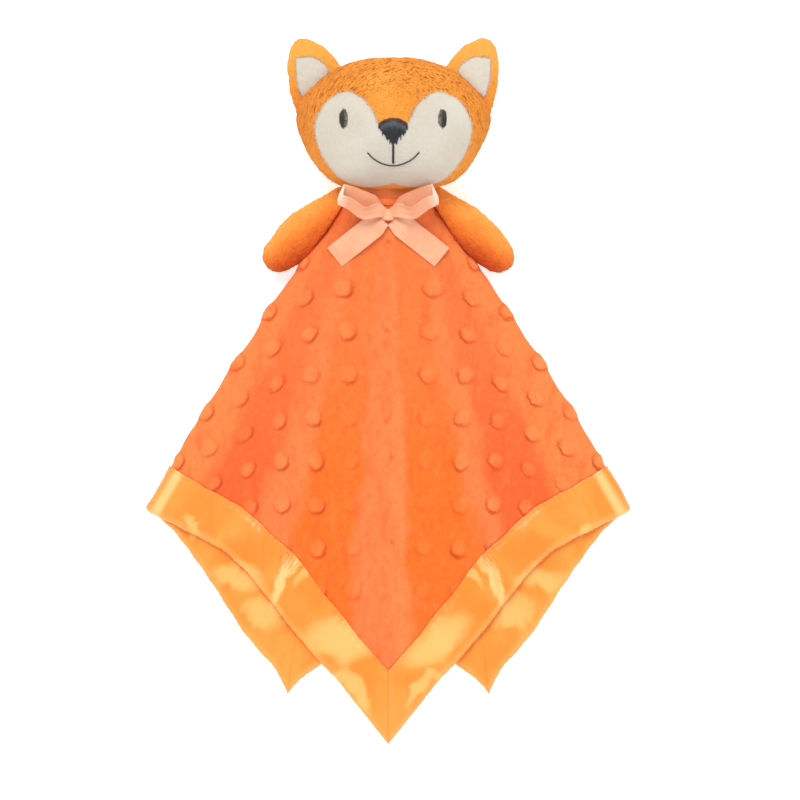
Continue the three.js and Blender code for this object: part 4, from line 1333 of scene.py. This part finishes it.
def padded_panel(name, points, faces, finish, thickness, body, slot, node):
    """A panel of plush with a thickness, soft over its faces and crisp at its cut edge."""
    points, faces = only_used(points, faces)
    piece = new_piece(name, points, faces, finish)
    apply(piece, "SOLIDIFY", thickness=thickness * MM, offset=-1)
    on_faces = np.arange(len(piece.data.polygons)) < 2 * len(faces)
    piece.data.polygons.foreach_set("use_smooth", on_faces)
    hand_over(piece, body, slot, node)
    return piece


def from_whorl(places):
    """How far places are beside and above the middle of the pile's arcs."""
    return places[:, 0] - HEAD_CENTRE[0], places[:, 1] - HEAD_CENTRE[1] + WHORL_DROP


def head_comb(places):
    """The head's pile lies in arcs over the face: along them, and out from their middle."""
    x, y = from_whorl(places)
    turn = np.arctan2(np.abs(x), y) * 30
    return np.stack([turn, np.hypot(x, y), x * 0.5 + places[:, 2]], axis=-1)


def head_nap(places):
    """The way the head's pile points: down each side along the arcs, and a little out."""
    x, y = from_whorl(places)
    away = np.maximum(np.hypot(x, y), 1e-6)[:, None]
    round_it = np.stack([y, -x, 0 * x], axis=-1) / away * np.tanh(x / 6)[:, None]
    return round_it + 0.45 * np.stack([x, y, 0 * x], axis=-1) / away


def head_pile(points, faces, count, seed):
    """Tufts all over the head's orange plush."""
    places, normals = scattered(points, split_quads(faces), count, seed)
    return tufts(places, normals, head_nap(places), 1.6, 0.42, 0.08, seed + 1)


def fringe(line, points_on, spacing, length, inside, seed):
    """Tufts along a closed line on the face that point out over its edge."""
    draw = np.random.default_rng(seed)
    run = np.roll(line, -1, axis=0) - line
    lengths = np.linalg.norm(run, axis=1)
    count = int(lengths.sum() / spacing)
    at = np.sort(draw.uniform(0, lengths.sum(), count))
    ends = np.cumsum(lengths)
    span = np.minimum(np.searchsorted(ends, at), len(line) - 1)
    share = (at - ends[span] + lengths[span]) / np.maximum(lengths[span], 1e-9)
    spot = line[span] + run[span] * share[:, None]
    out = unit(np.stack([run[span][:, 1], -run[span][:, 0]], axis=-1))
    area = (line[:, 0] * np.roll(line[:, 1], -1) - np.roll(line[:, 0], -1) * line[:, 1]).sum()
    out *= np.sign(area)
    spot = spot - out * draw.uniform(0.1, inside, (count, 1))
    roots, tips = points_on(spot), points_on(spot + out * length)
    shown = np.linalg.norm(roots[:, :2] - spot, axis=1) < 0.3
    roots, ways = roots[shown], (tips - roots)[shown]
    normals = unit(np.cross(np.cross(ways, (0, 0, 1)), ways))
    return tufts(roots, normals, ways, length, 0.45, 0.1, seed + 1)


def face_at(spots):
    """Places on the finished face straight above or below places in millimetres."""
    share = (spots - HEAD_CENTRE[:2]) / HEAD_HALF[:2]
    return on_skin(share[:, 0], share[:, 1])


def head():
    """The head's three panels, from one dented skin parted at its seams, and its filling."""
    directions, faces = cube_sphere(HEAD_GRID)
    points = head_point(directions)
    outline = mirrored_outline(MASK, 14) * HEAD_HALF[:2] + HEAD_CENTRE[:2]
    seam = HEAD_CENTRE[2]
    middle = points[faces].mean(axis=1)
    in_front = middle[:, 2] > seam
    masked = in_front & inside_line(middle[:, :2], outline)
    front = points[:, 2] > seam + 0.01
    edge, nearest, away = panel_edge(points, faces, masked, front, outline)
    share = (nearest[edge] - HEAD_CENTRE[:2]) / HEAD_HALF[:2]
    points[edge] = head_front(share[:, 0], share[:, 1])
    normal = point_normals(points, faces)
    from_seam = np.abs(points[:, 2] - seam)
    dip = seam_dip(away, 0.2, 1.4) + seam_dip(from_seam, 0.8, 1.6)
    plump = 0.4 * step_between(away, 1, 8) * step_between(from_seam, 1, 8)
    comb = head_comb(points) * (0.3, 1, 1)
    on_mask = np.isin(np.arange(len(points)), faces[masked])
    locks = waves(comb, 2.3, 6, 40) * np.where(on_mask, 0.04, 0.13) * step_between(away, 0, 2)
    dents = 0.35 * waves(points, 30, 5) + locks
    points = points + normal * (dip + plump + dents)[:, None]
    points[:, 2] = np.maximum(points[:, 2], 0.0)
    FACE_SKIN.append(BVHTree.FromPolygons(points.tolist(), faces.tolist()))
    orange, off_floor = in_front & ~masked, ~in_front & (middle[:, 2] > 3)
    for name, chosen, finish, slot, node, pile in (
        ("head_front", orange, HEAD_PLUSH, "orange_plush", "head_front_panel",
         head_pile(points, faces[orange], 8000, 61)),
        ("white_mask", masked, WHITE_PLUSH, "white_plush", "face_mask",
         fringe(outline, face_at, 0.15, 1.4, 0.8, 65)),
        ("head_back", ~in_front, HEAD_PLUSH, "orange_plush", "head_back_panel",
         head_pile(points, faces[off_floor], 5000, 67)),
    ):
        piece = padded_panel(name, points, faces[chosen], finish, PLUSH, "head", slot, node)
        add_tufts(piece, [pile])
        comb_piece(piece, head_comb)
    directions, faces = cube_sphere(FIBRE_GRID)
    core = head_point(directions, -PLUSH - HEAD_SLACK)
    core = core + 0.5 * waves(core, 9, 8)[:, None] * directions
    core[:, 2] = np.maximum(core[:, 2], PLUSH + GAP)
    piece = new_piece("head_fibre", core, faces, FILLING)
    hand_over(piece, "head", "stuffing", "head_stuffing")


# ---------------------------------------------------------------- ears

EAR_HALF_THICKNESS, EAR_PLY, EAR_FILL = 4.5, 0.9, 0.5
EAR_MIDDLE = (0.82, 0.62)


def head_tool(grow):
    """The head's form, grown, to cut what is sewn against it."""
    directions, faces = cube_sphere(TOOL_GRID)
    return new_piece("head_tool", head_point(directions, grow), faces, HEAD_PLUSH)


def ear_form(outline, middle, directions):
    """A flat ball with an ear's outline."""
    turn = np.arctan2(directions[:, 1], directions[:, 0])
    tilt = np.hypot(directions[:, 0], directions[:, 1])
    reach = np.interp(turn, *polar_radius(outline, middle)) * tilt**0.8
    rise = np.sign(directions[:, 2]) * np.abs(directions[:, 2]) ** 0.9
    points = [
        middle[0] + reach * np.cos(turn),
        middle[1] + reach * np.sin(turn),
        EAR_HALF_THICKNESS * rise,
    ]
    return np.stack(points, axis=-1)


def ear(side, tool):
    """An ear's white panel and its orange cover, combed from the ear's root."""
    name = "right" if side > 0 else "left"
    body = "ear_" + name
    directions, faces = cube_sphere(EAR_GRID)
    outline = curve_through(EAR, 10, True) * HEAD_HALF[:2]
    panel = curve_through(EAR_PANEL, 12, True) * HEAD_HALF[:2]
    points = ear_form(outline, np.array(EAR_MIDDLE) * HEAD_HALF[:2], directions)
    on_panel = inside_line(points[faces].mean(axis=1)[:, :2], panel)
    masked = (directions[faces].mean(axis=1)[:, 2] > 0.02) & on_panel
    edge, nearest, away = panel_edge(points, faces, masked, directions[:, 2] > 0.02, panel)
    points[edge, :2] = nearest[edge]
    normal = point_normals(points, faces)
    dents = 0.2 * waves(points, 9, 31 + side) + 0.1 * waves(points, 3, 33)
    points = points + normal * (seam_dip(away, 0.25, 1.2) + dents)[:, None]
    points = points * (side, 1, 1) + HEAD_CENTRE
    if side < 0:
        faces = faces[:, ::-1]
    skin = BVHTree.FromPolygons(points.tolist(), faces.tolist())

    def ear_at(spots):
        hits = [skin.ray_cast(Vector((*spot, FAR)), Vector((0, 0, -1)))[0] for spot in spots]
        return np.array([tuple(hit) if hit else (*spot, 28) for hit, spot in zip(hits, spots)])

    inner = padded_panel("ear_white_" + name, points, faces[masked], WHITE_PLUSH, EAR_PLY, body,
                         "white_plush", f"ear_{name}_inner")
    rim = panel * (side, 1) + HEAD_CENTRE[:2]
    add_tufts(inner, [fringe(rim, ear_at, 0.15, 1.1, 0.6, 73)])
    comb_piece(inner, ear_comb)
    points[np.unique(faces[masked]), 2] -= EAR_PLY
    cover = new_piece("ear_orange_" + name, points, faces, EAR_PLUSH)
    cut_away(cover, tool)
    places, triangles = piece_points(cover)
    middle = places[triangles].mean(axis=1)
    bare = inside_line(middle[:, :2], rim) | (head_depth(middle) < 0.4)
    roots, normals = scattered(places, triangles[~bare], 1800, 75)
    start = HEAD_CENTRE + (side * EAR_MIDDLE[0] * 40, EAR_MIDDLE[1] * 26, 0)
    ways = (roots - start) * (1, 1, 0)
    add_tufts(cover, [tufts(roots, normals, ways, 1.4, 0.4, 0.04, 76)])
    comb_piece(cover, ear_comb)
    hand_over(cover, body, "orange_plush", f"ear_{name}_cover")


def ear_comb(places):
    """The ears' pile runs up and out."""
    x, y = places[:, 0] - HEAD_CENTRE[0], places[:, 1] - HEAD_CENTRE[1]
    along, across = y * 0.9 + np.abs(x) * 0.4, x * 0.9 - y * np.sign(x) * 0.4
    return np.stack([along, across, places[:, 2]], axis=-1)


# ---------------------------------------------------------------- arms and neck

ARM_LENGTH, ARM_HALF_WIDTH, ARM_HALF_HEIGHT = 46.0, 11.4, 11.2
ARM_ANGLE = -36.0
ARM_ROUNDING = 0.16
ARM_VOXEL = 0.9
FIBRE_SLACK = 1.4
ARM_ROOT = (1.32 * RING_HALF_WIDTH, -0.36 * RING_HALF_WIDTH, ARM_HALF_HEIGHT - 0.5)
ARM_MIDDLE = np.dot(ARM_ROOT, leaning(ARM_ANGLE, 1)[1])

# Along the arm, in shares of its length: its ends, its middle line's shift and its girth.
ARM_ENDS = (-0.3, 0.97)
ARM_SHIFT = ((-0.3, 0, 0.37, 0.6, 0.8, 0.9, 0.97), (0, 0, 0.035, 0.03, 0.01, 0, 0))
ARM_GIRTH = ((-0.3, -0.2, 0, 0.37, 0.6, 0.8, 0.97), (0.9, 0.92, 1.0, 1.03, 0.92, 0.76, 0.66))


def arm_skin(grow, rings, sides):
    """Points and faces of the right arm's skin, grown, before anything is cut from it."""
    first, last = ARM_ENDS[0] - grow / ARM_LENGTH, ARM_ENDS[1] + grow / ARM_LENGTH
    share = (1 - np.cos(np.linspace(0, math.pi, rings + 2))) / 2
    places = first + (last - first) * share
    end = np.minimum(places - first, last - places)
    round_end = np.sqrt(np.clip(1 - (1 - np.clip(end / ARM_ROUNDING, 0, 1)) ** 2, 0, 1))
    girth = np.interp(places, *ARM_GIRTH) * round_end
    turn = np.linspace(0, 2 * math.pi, sides, endpoint=False)
    along, across = leaning(ARM_ANGLE, 1)
    sections = []
    for place, shift, half in zip(places, np.interp(places, *ARM_SHIFT), girth):
        centre = np.array(ARM_ROOT) + along * place * ARM_LENGTH + across * shift * ARM_LENGTH
        sections.append(
            centre
            + np.outer(np.cos(turn), across) * (ARM_HALF_WIDTH + grow) * half
            + np.outer(np.sin(turn), (0, 0, 1)) * (ARM_HALF_HEIGHT + grow) * half
        )
    return lofted(sections[1:-1], sections[0][0], sections[-1][0])


def cloth_room():
    """A prism round the laid cloth's shoulders and the neck, which the arms stay out of."""
    reach = np.array([0, MORPH / 4, MORPH / 2, MORPH])
    flat = (reach + GATHER) / hem_reach(np.array([45.0]))[1][0]
    side = laid(np.zeros(4), flat + 1e-6)[:, :2] + (CLOTH_HALF + GAP, 0)
    neck = RING_HALF_WIDTH - CLOTH_HALF
    line = [(0, HEAD_CENTRE[1]), (0, side[-1][1]), *side[::-1][:-1],
            (side[0][0], CLOTH_HALF + GAP), (neck, CLOTH_HALF + GAP), (neck, HEAD_CENTRE[1])]
    return np.array(line)


ROOM_LOW, ROOM_HIGH = -20.0, 80.0


def room_tool(side, spare):
    """The room that the arms stay out of, widened by spare, to cut from one side's arm."""
    line = cloth_room()
    line[line[:, 0] > 0, 0] += spare
    line = line * (side, 1)
    count = len(line)
    ends = [np.column_stack([line, np.full(count, z)]) for z in (ROOM_LOW, ROOM_HIGH)]
    faces = [[i, (i + 1) % count, (i + 1) % count + count, i + count] for i in range(count)]
    faces += [list(range(count))[::-1], list(range(count, 2 * count))]
    return closed_piece("room_tool", np.concatenate(ends), faces, HEAD_PLUSH, rounded=False)


def wear(piece, seed):
    """Dents a piece softly and keeps it above the floor."""
    places, _ = piece_points(piece)
    normals = np.array([vertex.normal for vertex in piece.data.vertices])
    dents = 0.35 * waves(places, 16, seed) + 0.12 * waves(places, 4, 53)
    places = places + normals * dents[:, None]
    places[:, 2] = np.maximum(places[:, 2], 0)
    piece.data.vertices.foreach_set("co", ((places + (0, RING_Y, 0)) * MM).ravel())
    piece.data.update()


def arm(side, tools, filling_tools):
    """An arm's cover, dented and tufted, and the filling in it."""
    name = "right" if side > 0 else "left"
    along, across = leaning(ARM_ANGLE, side)

    def arm_comb(places):
        return np.stack([places @ along, places @ across - ARM_MIDDLE, places[:, 2]], axis=-1)

    points, faces = arm_skin(0, 40, 48)
    points[:, 2] = np.maximum(points[:, 2], 0)
    cover = closed_piece("arm_orange_" + name, points * (side, 1, 1), faces, ARM_PLUSH)
    for tool in tools:
        cut_away(cover, tool)
    apply(cover, "REMESH", mode="VOXEL", voxel_size=ARM_VOXEL * MM, use_smooth_shade=True)
    apply(cover, "SMOOTH", factor=0.5, iterations=6)
    wear(cover, 51 + side)
    places, triangles = piece_points(cover)
    raised = places[triangles].mean(axis=1)[:, 2] > 1.0
    roots, normals = scattered(places, triangles[raised], 3500, 81)
    ways = np.tile(along + (0, -0.5, 0), (len(roots), 1))
    add_tufts(cover, [tufts(roots, normals, ways, 1.6, 0.4, 0.06, 82)])
    comb_piece(cover, arm_comb)
    hand_over(cover, "arm_" + name, "orange_plush", f"arm_{name}_cover")
    points, faces = arm_skin(-PLUSH - FIBRE_SLACK, 30, 36)
    points[:, 2] = np.maximum(points[:, 2], PLUSH + FIBRE_SLACK)
    core = closed_piece("arm_fibre_" + name, points * (side, 1, 1), faces, FILLING)
    for tool in filling_tools:
        cut_away(core, tool)
    hand_over(core, "arm_" + name, "stuffing", f"arm_{name}_stuffing")


# Along the neck stub, from its closed end in the cloth's fold to the head: place and girth.
NECK_ROWS = (
    (-15, 0.1), (-14.1, 0.45), (-10.8, 0.72), (-6, 0.9), (0, 1), (4, 1), (8, 1), (15.5, 1)
)


def neck_skin(grow):
    """Points and faces of the neck stub's skin, grown."""
    fit = CLOTH_HALF + GAP
    half_width, half_height = RING_HALF_WIDTH - fit, RING_HALF_HEIGHT - fit
    turn = np.linspace(0, 2 * math.pi, 48, endpoint=False)
    rings = []
    for y, girth in NECK_ROWS:
        x = max(half_width * girth + grow, 0.5) * np.cos(turn)
        z = RING_HEIGHT + max(half_height * girth + grow, 0.5) * np.sin(turn)
        rings.append(np.stack([x, np.full_like(turn, y), z], axis=-1))
    return lofted(rings, *[(0, NECK_ROWS[end][0], RING_HEIGHT) for end in (0, -1)])


def neck(tool, filling_tool):
    """The neck stub's cover, cut to fit against the head, and its filling."""
    cover = closed_piece("neck_plush", *neck_skin(0), NECK_PLUSH_LIT)
    cut_away(cover, tool)
    comb_piece(cover, lambda places: places[:, [1, 0, 2]])
    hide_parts("neck_cover")
    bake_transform(cover)
    core = closed_piece("neck_fibre", *neck_skin(-PLUSH - FIBRE_SLACK), FILLING)
    cut_away(core, filling_tool)
    hand_over(core, "blanket", "stuffing", "neck_stuffing")


# ---------------------------------------------------------------- ribbon bow

RIBBON_WIDTH, RIBBON = 12.0, 0.5
LOOP_LENGTH, LOOP_OPENING, LOOP_RISE = 25.8, 5.4, 9.0
TAIL_LENGTH, TAIL_MAP = 34.0, 60.0
KNOT_WIDTH, KNOT_LENGTH, KNOT_DEPTH, KNOT_DROP = 5.6, 6.2, 3.4, 8.2
LOOP_ANGLE, TAIL_ANGLE = 24.4, -38.0
LOOP_PINCH, TAIL_PINCH = 0.45, 0.72
LOOP_FLARE, TAIL_FLARE = 0.34, 0.2
LOOP_TILT, LOOP_HANG, LOOP_DRAW = 60, 1.5, 3.2


def front_height(x, y):
    """The height of the blanket's front face at places beside the middle."""
    line = np.linspace(14, 90, 77)
    a, b = np.meshgrid(line, line, indexing="ij")
    surface = laid(a, b).reshape(-1, 3)
    heights = []
    for place in zip(np.ravel(x), np.ravel(y)):
        away = np.hypot(*(surface[:, :2] - (abs(place[0]), place[1])).T)
        near = np.argsort(away)[:4]
        weight = 1 / (away[near] + 0.2)
        heights.append((surface[near, 2] * weight).sum() / weight.sum())
    return np.reshape(heights, np.shape(x)) + CLOTH_HALF


def ribbon_half(share, flare, pinch):
    """Half the ribbon's width, drawn in at the knot."""
    return RIBBON_WIDTH / 2 * (pinch + (1 - pinch) * step_between(share, 0, flare))


def ribbon_piece(name, points, width, run, node):
    """A strip of ribbon through rows of points, with its flat map."""
    flat = np.stack([width * RIBBON_WIDTH / 2 + 0 * run, run + 0 * width], axis=-1)
    piece = new_piece(name, points, grid_faces(*points.shape[:2]), RIBBON_SATIN, flat)
    apply(piece, "SOLIDIFY", thickness=RIBBON * MM, offset=0)
    hand_over(piece, "blanket", "ribbon", node)
    return piece


def bow_loop(side, base):
    """A loop of ribbon seen into: its back strand lies flat and its front one stands up."""
    name = "right" if side > 0 else "left"
    along, across = leaning(LOOP_ANGLE, side)
    start = KNOT_WIDTH / 2 - 0.6
    turn = np.linspace(0, 2 * math.pi, 97)[:, None]
    width = np.linspace(-1, 1, 19)[None, :]
    share = (1 - np.cos(turn)) / 2
    in_front = step_between(math.pi - turn, 0.05, 0.6)
    swell = 2 * RIBBON + (LOOP_OPENING / 2 - 2 * RIBBON) * share**0.6
    pleat = 0.45 * np.cos(width * 2.5 * math.pi) * (1 - step_between(share, 0.0, 0.55))
    height = base + 2 * RIBBON + LOOP_RISE * share + (swell + pleat) * np.sin(turn)
    reach = start + (LOOP_LENGTH - start) * share
    half = ribbon_half(share, LOOP_FLARE, LOOP_PINCH)
    tilt = np.radians(LOOP_TILT) * in_front * step_between(share, 0.05, 0.4)
    sunk = (1 - np.cos(tilt)) * half
    hang = LOOP_HANG * in_front * np.sin(math.pi * np.minimum(share * 1.25, 1)) ** 2
    beside = width * half * np.cos(tilt) - sunk - hang
    beside = beside - LOOP_HANG * np.maximum(0, width) ** 2 * share**4
    reach = reach - LOOP_DRAW * np.maximum(0, -width - 0.3) ** 2 * share**4
    rise = (width + 0.35) * half * np.sin(tilt) * 0.55
    cup = 0.5 * (1 - width**2) * share * np.cos(tilt)
    points = (
        (reach + 0 * width)[..., None] * along
        + beside[..., None] * across
        + (height + cup + rise)[..., None] * np.array([0, 0, 1])
        - (0, KNOT_DROP, 0)
    )
    run = run_along(points[:, 9])
    piece = ribbon_piece("ribbon_loop_" + name, points, width, run[:, None], "bow_loop_" + name)


def bow_tail(side, base):
    """An end of the ribbon, laid on the blanket's front."""
    name = "right" if side > 0 else "left"
    along, across = leaning(TAIL_ANGLE, side)
    start = KNOT_WIDTH / 2 + GAP
    share = np.linspace(0, 1, 41)[:, None]
    width = np.linspace(-1, 1, 19)[None, :]
    half = ribbon_half(share, TAIL_FLARE, TAIL_PINCH)
    reach = start + (TAIL_LENGTH - start) * share
    points = reach[..., None] * along + (width * half)[..., None] * across - (0, KNOT_DROP, 0)
    ground = front_height(points[..., 0], points[..., 1])
    carried = np.minimum(base - RIBBON, ground.max(axis=1, keepdims=True) + DOT_HEIGHT * 0.6)
    pleat = 0.35 * np.cos(width * 2.5 * math.pi) * (1 - step_between(share, 0, 0.45))
    points[..., 2] = carried + GAP + RIBBON / 2 + pleat + 0.4 * np.sin(share * 5 + side) * share
    run = share * (TAIL_LENGTH - start) + TAIL_MAP
    piece = ribbon_piece("ribbon_tail_" + name, points, width, run, "bow_tail_" + name)


def bow_knot(base):
    """The ribbon's turn round the middle of the bow, with soft folds across it."""
    turn = np.linspace(0, 2 * math.pi, 36, endpoint=False)
    middle = base + KNOT_DEPTH / 2
    rings = []
    for row in np.linspace(-1, 1, 23):
        size = math.sqrt(max(0.0, 1 - abs(row) ** 5)) * 0.94 + 0.06
        fold = 1 + 0.06 * np.cos(3 * math.pi * row)
        x = KNOT_WIDTH / 2 * size * fold * np.cos(turn)
        y = np.full_like(turn, row * KNOT_LENGTH / 2 - KNOT_DROP)
        z = middle + KNOT_DEPTH / 2 * size * fold * np.sin(turn)
        rings.append(np.stack([x, y, z], axis=-1))
    ends = [(0, -KNOT_DROP + side * KNOT_LENGTH / 2, middle) for side in (-1, 1)]
    piece = closed_piece("ribbon_knot", *lofted(rings, *ends), RIBBON_SATIN)
    piece.data.uv_layers.new(name=FLAT_MAP)
    hand_over(piece, "blanket", "ribbon", "bow_knot")


def bow():
    """Two loops, two tails and the knot, on the blanket below the neck."""
    ring = np.array([KNOT_DROP + GATHER]) / math.sqrt(2)
    base = laid(ring, ring)[0, 2] + CLOTH_HALF + GAP
    for side in (1, -1):
        bow_loop(side, base + RIBBON + GAP + RIBBON)
        bow_tail(side, base)
    bow_knot(base)


# ---------------------------------------------------------------- embroidery and thread


def threads(name, lines, radius, finish, sides):
    """Threads of one radius along lines, as one closed mesh each."""
    curve = bpy.data.curves.new(name, "CURVE")
    curve.dimensions = "3D"
    curve.bevel_depth = radius * MM
    curve.bevel_resolution = sides // 4
    curve.use_fill_caps = True
    for line in lines:
        spline = curve.splines.new("POLY")
        spline.points.add(len(line) - 1)
        spline.use_smooth = True
        for point, place in zip(spline.points, line):
            point.co = (*((np.array(place) + (0, RING_Y, 0)) * MM), 1)
            point.radius = 1.0
        spline.points[0].radius = spline.points[-1].radius = 0.5
    piece = added(name, curve)
    pick(piece)
    bpy.ops.object.convert(target="MESH")
    piece.data.materials.clear()
    piece.data.materials.append(finish)
    return piece


SMILE = [(-0.27, -0.49), (-0.2, -0.59), (-0.1, -0.66), (0, -0.685), (0.1, -0.66), (0.2, -0.59),
         (0.27, -0.49)]
NOSE = [(0, 0.016), (0.08, -0.005), (0.15, -0.075), (0.143, -0.115), (0.104, -0.2),
        (0.052, -0.287), (0, -0.36)]
LIP = [(0, -0.36), (0, -0.5), (0, -0.65)]
EYE_HALF_WIDTH, EYE_HALF_HEIGHT, EYE_PLACE = 2.2, 4.7, (0.515, 0.01)
PAD_SINK = 0.6
FLOSS_RISE, FLOSS_SINK, FLOSS_RADIUS = 0.12, 0.25, 0.62


def raised_patch(name, line, height, finish):
    """A pad of floss inside a closed line on the face, under the stitches."""
    middle = line.mean(axis=0)
    rings = []
    for share in (0.97, 0.94, 0.8, 0.6, 0.3):
        ring = middle + (line - middle) * share
        rise = height * math.sqrt(1 - share**2) if share < 0.97 else -PAD_SINK
        rings.append(on_skin(ring[:, 0], ring[:, 1], rise))
    top = on_skin(middle[:1], middle[1:], height)[0]
    low = on_skin(middle[:1], middle[1:], -PAD_SINK)[0]
    return closed_piece(name, *lofted(rings, low, top), finish)


def crossing(line, value, axis):
    """The lowest and highest place of a closed line where one axis has a value."""
    ends = np.roll(line, -1, axis=0)
    low, high = line[:, axis], ends[:, axis]
    cut = (low > value) != (high > value)
    share = (value - low[cut]) / (high[cut] - low[cut])
    other = line[cut, 1 - axis] + share * (ends[cut, 1 - axis] - line[cut, 1 - axis])
    return other.min(), other.max()


def satin_stitch(name, line, axis, spacing, height, ragged, finish, seed):
    """Floss laid side by side across a closed line, on a raised pad. Its ends reach
    unevenly past the line, by the two values of ragged at most."""
    draw = np.random.default_rng(seed)
    pad = raised_patch(name, line, height, finish)
    start, end = line[:, axis].min() + spacing * 0.6, line[:, axis].max() - spacing * 0.4
    lines = []
    for row in np.arange(start, end, spacing):
        low, high = crossing(line, row, axis)
        low, high = low - ragged[0] * draw.random(), high + ragged[1] * draw.random()
        spots = np.full((7, 2), row)
        spots[:, 1 - axis] = np.linspace(low, high, 7)
        arch = height * np.sqrt(np.clip(1 - np.linspace(-1, 1, 7) ** 2, 0, 1))
        rise = FLOSS_RISE + arch - FLOSS_SINK
        lines.append(on_skin(spots[:, 0], spots[:, 1]) + np.outer(rise, (0, 0, 1)))
    floss = threads(name + "_floss", lines, spacing * HEAD_HALF[axis] * FLOSS_RADIUS, finish, 4)
    pick(floss, pad)
    bpy.ops.object.join()
    return pad


def rope_stitch(line, length, lean):
    """Short stitches one after another along a line, each a little across it."""
    run = run_along(line)
    stitches = []
    for start in np.arange(0, run[-1] - length * 0.4, length * 0.62):
        at = np.clip(np.linspace(start, start + length, 5), 0, run[-1])
        spots = np.stack([np.interp(at, run, line[:, axis]) for axis in range(3)], axis=-1)
        way = spots[-1] - spots[0]
        beside = np.array([-way[1], way[0], 0]) / max(np.hypot(way[0], way[1]), 1e-6)
        shift = np.linspace(-lean, lean, 5)[:, None]
        arch = 0.12 * np.sin(np.linspace(0, math.pi, 5))[:, None]
        stitches.append(spots + beside * shift + (0, 0, 1) * arch)
    return stitches


def on_face(shares):
    """A smooth line just above the face through places given in shares."""
    points = curve_through(shares, 8, False)
    return on_skin(points[:, 0], points[:, 1], 0.2)


def face():
    """Eyes and nose in satin stitch, smile and lip line in rope stitch."""
    turn = np.linspace(0, 2 * math.pi, 40, endpoint=False)
    width = EYE_HALF_WIDTH * np.cos(turn) * np.abs(np.cos(turn)) ** 0.25
    outline = np.stack([width, EYE_HALF_HEIGHT * np.sin(turn)], axis=-1) / HEAD_HALF[:2]
    for side, name, finish in ((1, "right", RIGHT_EYE), (-1, "left", LEFT_EYE)):
        line = outline + (side * EYE_PLACE[0], EYE_PLACE[1])
        eye = satin_stitch(
            "floss_eye_" + name, line, 0, 0.0105, 0.6, (0.03, 0.03), finish, 91 + side
        )
        hand_over(eye, "head", "embroidery", "eye_" + name)
    line = mirrored_outline(NOSE, 8)
    nose = satin_stitch("floss_nose", line, 0, 0.0095, 1.5, (0.08, 0.012), NOSE_FLOSS, 95)
    hand_over(nose, "head", "embroidery", "nose")
    smile = threads("floss_smile", rope_stitch(on_face(SMILE), 1.9, 0.16), 0.3, EMBROIDERY, 8)
    hand_over(smile, "head", "embroidery", "mouth_smile")
    lip = threads("floss_lip_line", rope_stitch(on_face(LIP), 1.5, 0.42), 0.42, EMBROIDERY, 8)
    hand_over(lip, "head", "embroidery", "mouth_philtrum")


THREAD_RADIUS, STRAND_REACH, THREAD_RISE, THREAD_TURNS = 0.28, 0.24, 0.9, 23


def gather_thread():
    """Two strands twisted round each other, drawn round the neck."""
    turn = np.radians(np.linspace(0, 360, 577))
    flat = np.stack([np.cos(turn), np.sin(turn)]) * (GATHER + 3)
    place, normal = laid_frame(flat[0], flat[1])
    line = place + normal * (CLOTH_HALF + THREAD_RISE)
    steps = np.linspace(0, THREAD_TURNS * 2 * math.pi, len(line))[:, None]
    beside = np.array([(0, 1, 0)])
    strands = [
        line + STRAND_REACH * (np.sin(steps + phase) * normal + np.cos(steps + phase) * beside)
        for phase in (0, math.pi)
    ]
    piece = threads("gather_thread", strands, THREAD_RADIUS, CORD, 8)
    hand_over(piece, "blanket", "sewing_thread", "neck_gather_thread")


# ---------------------------------------------------------------- making

MINKY = minky_finish()
LINING = lining_finish()
SATIN_CLOTH = satin_finish()
# The last tone of each plush is the painted shade in its combed grooves.
HEAD_PLUSH = plush_finish("head_plush", head_colour, head_groove, linear(172, 88, 22))
EAR_PLUSH = plush_finish("ear_plush", ear_colour, even_groove(0.12), linear(206, 112, 34))
ARM_PLUSH = plush_finish("arm_plush", arm_colour, arm_groove, linear(168, 58, 16))
# The neck's plush is paler than the head's: painted light against the shade that the head and the
# bow cast on the neck.
NECK_PLUSH_LIT = plush_finish(
    "neck_plush", patched(linear(255, 166, 108), linear(255, 152, 92)), even_groove(0.06),
    linear(204, 76, 26)
)
WHITE_PLUSH = plush_finish(
    "white_plush", patched(linear(211, 204, 190), linear(206, 197, 183)), even_groove(0.12),
    linear(184, 172, 155)
)
EMBROIDERY = floss_finish("dark_floss", 90, 91, linear(60, 58, 56))
LEFT_EYE = floss_finish("left_eye_floss", -22.2, -20.2, linear(150, 138, 124))
RIGHT_EYE = floss_finish("right_eye_floss", 27.2, 25.2, linear(150, 138, 124))
NOSE_FLOSS = nose_finish()
RIBBON_SATIN = ribbon_finish()
FILLING = filling_finish()
CORD = cord_finish()

# How far the ears and the neck are sewn into the head, and the arms overlap their room.
SEWN_IN, ROOM_LAP = 0.9, 0.45

studio()
blanket()
bindings()
head()
head_cutter = head_tool(GAP)
sewn_cutter = head_tool(-SEWN_IN)
fibre_cutter = head_tool(PLUSH + FIBRE_SLACK)
for side in (1, -1):
    ear(side, sewn_cutter)
    room_cutter = room_tool(side, -ROOM_LAP)
    wide_cutter = room_tool(side, PLUSH + FIBRE_SLACK)
    arm(side, [head_cutter, room_cutter], [fibre_cutter, wide_cutter])
    bpy.data.objects.remove(room_cutter)
    bpy.data.objects.remove(wide_cutter)
neck(sewn_cutter, fibre_cutter)
for tool in (head_cutter, sewn_cutter, fibre_cutter):
    bpy.data.objects.remove(tool)
bow()
face()
gather_thread()
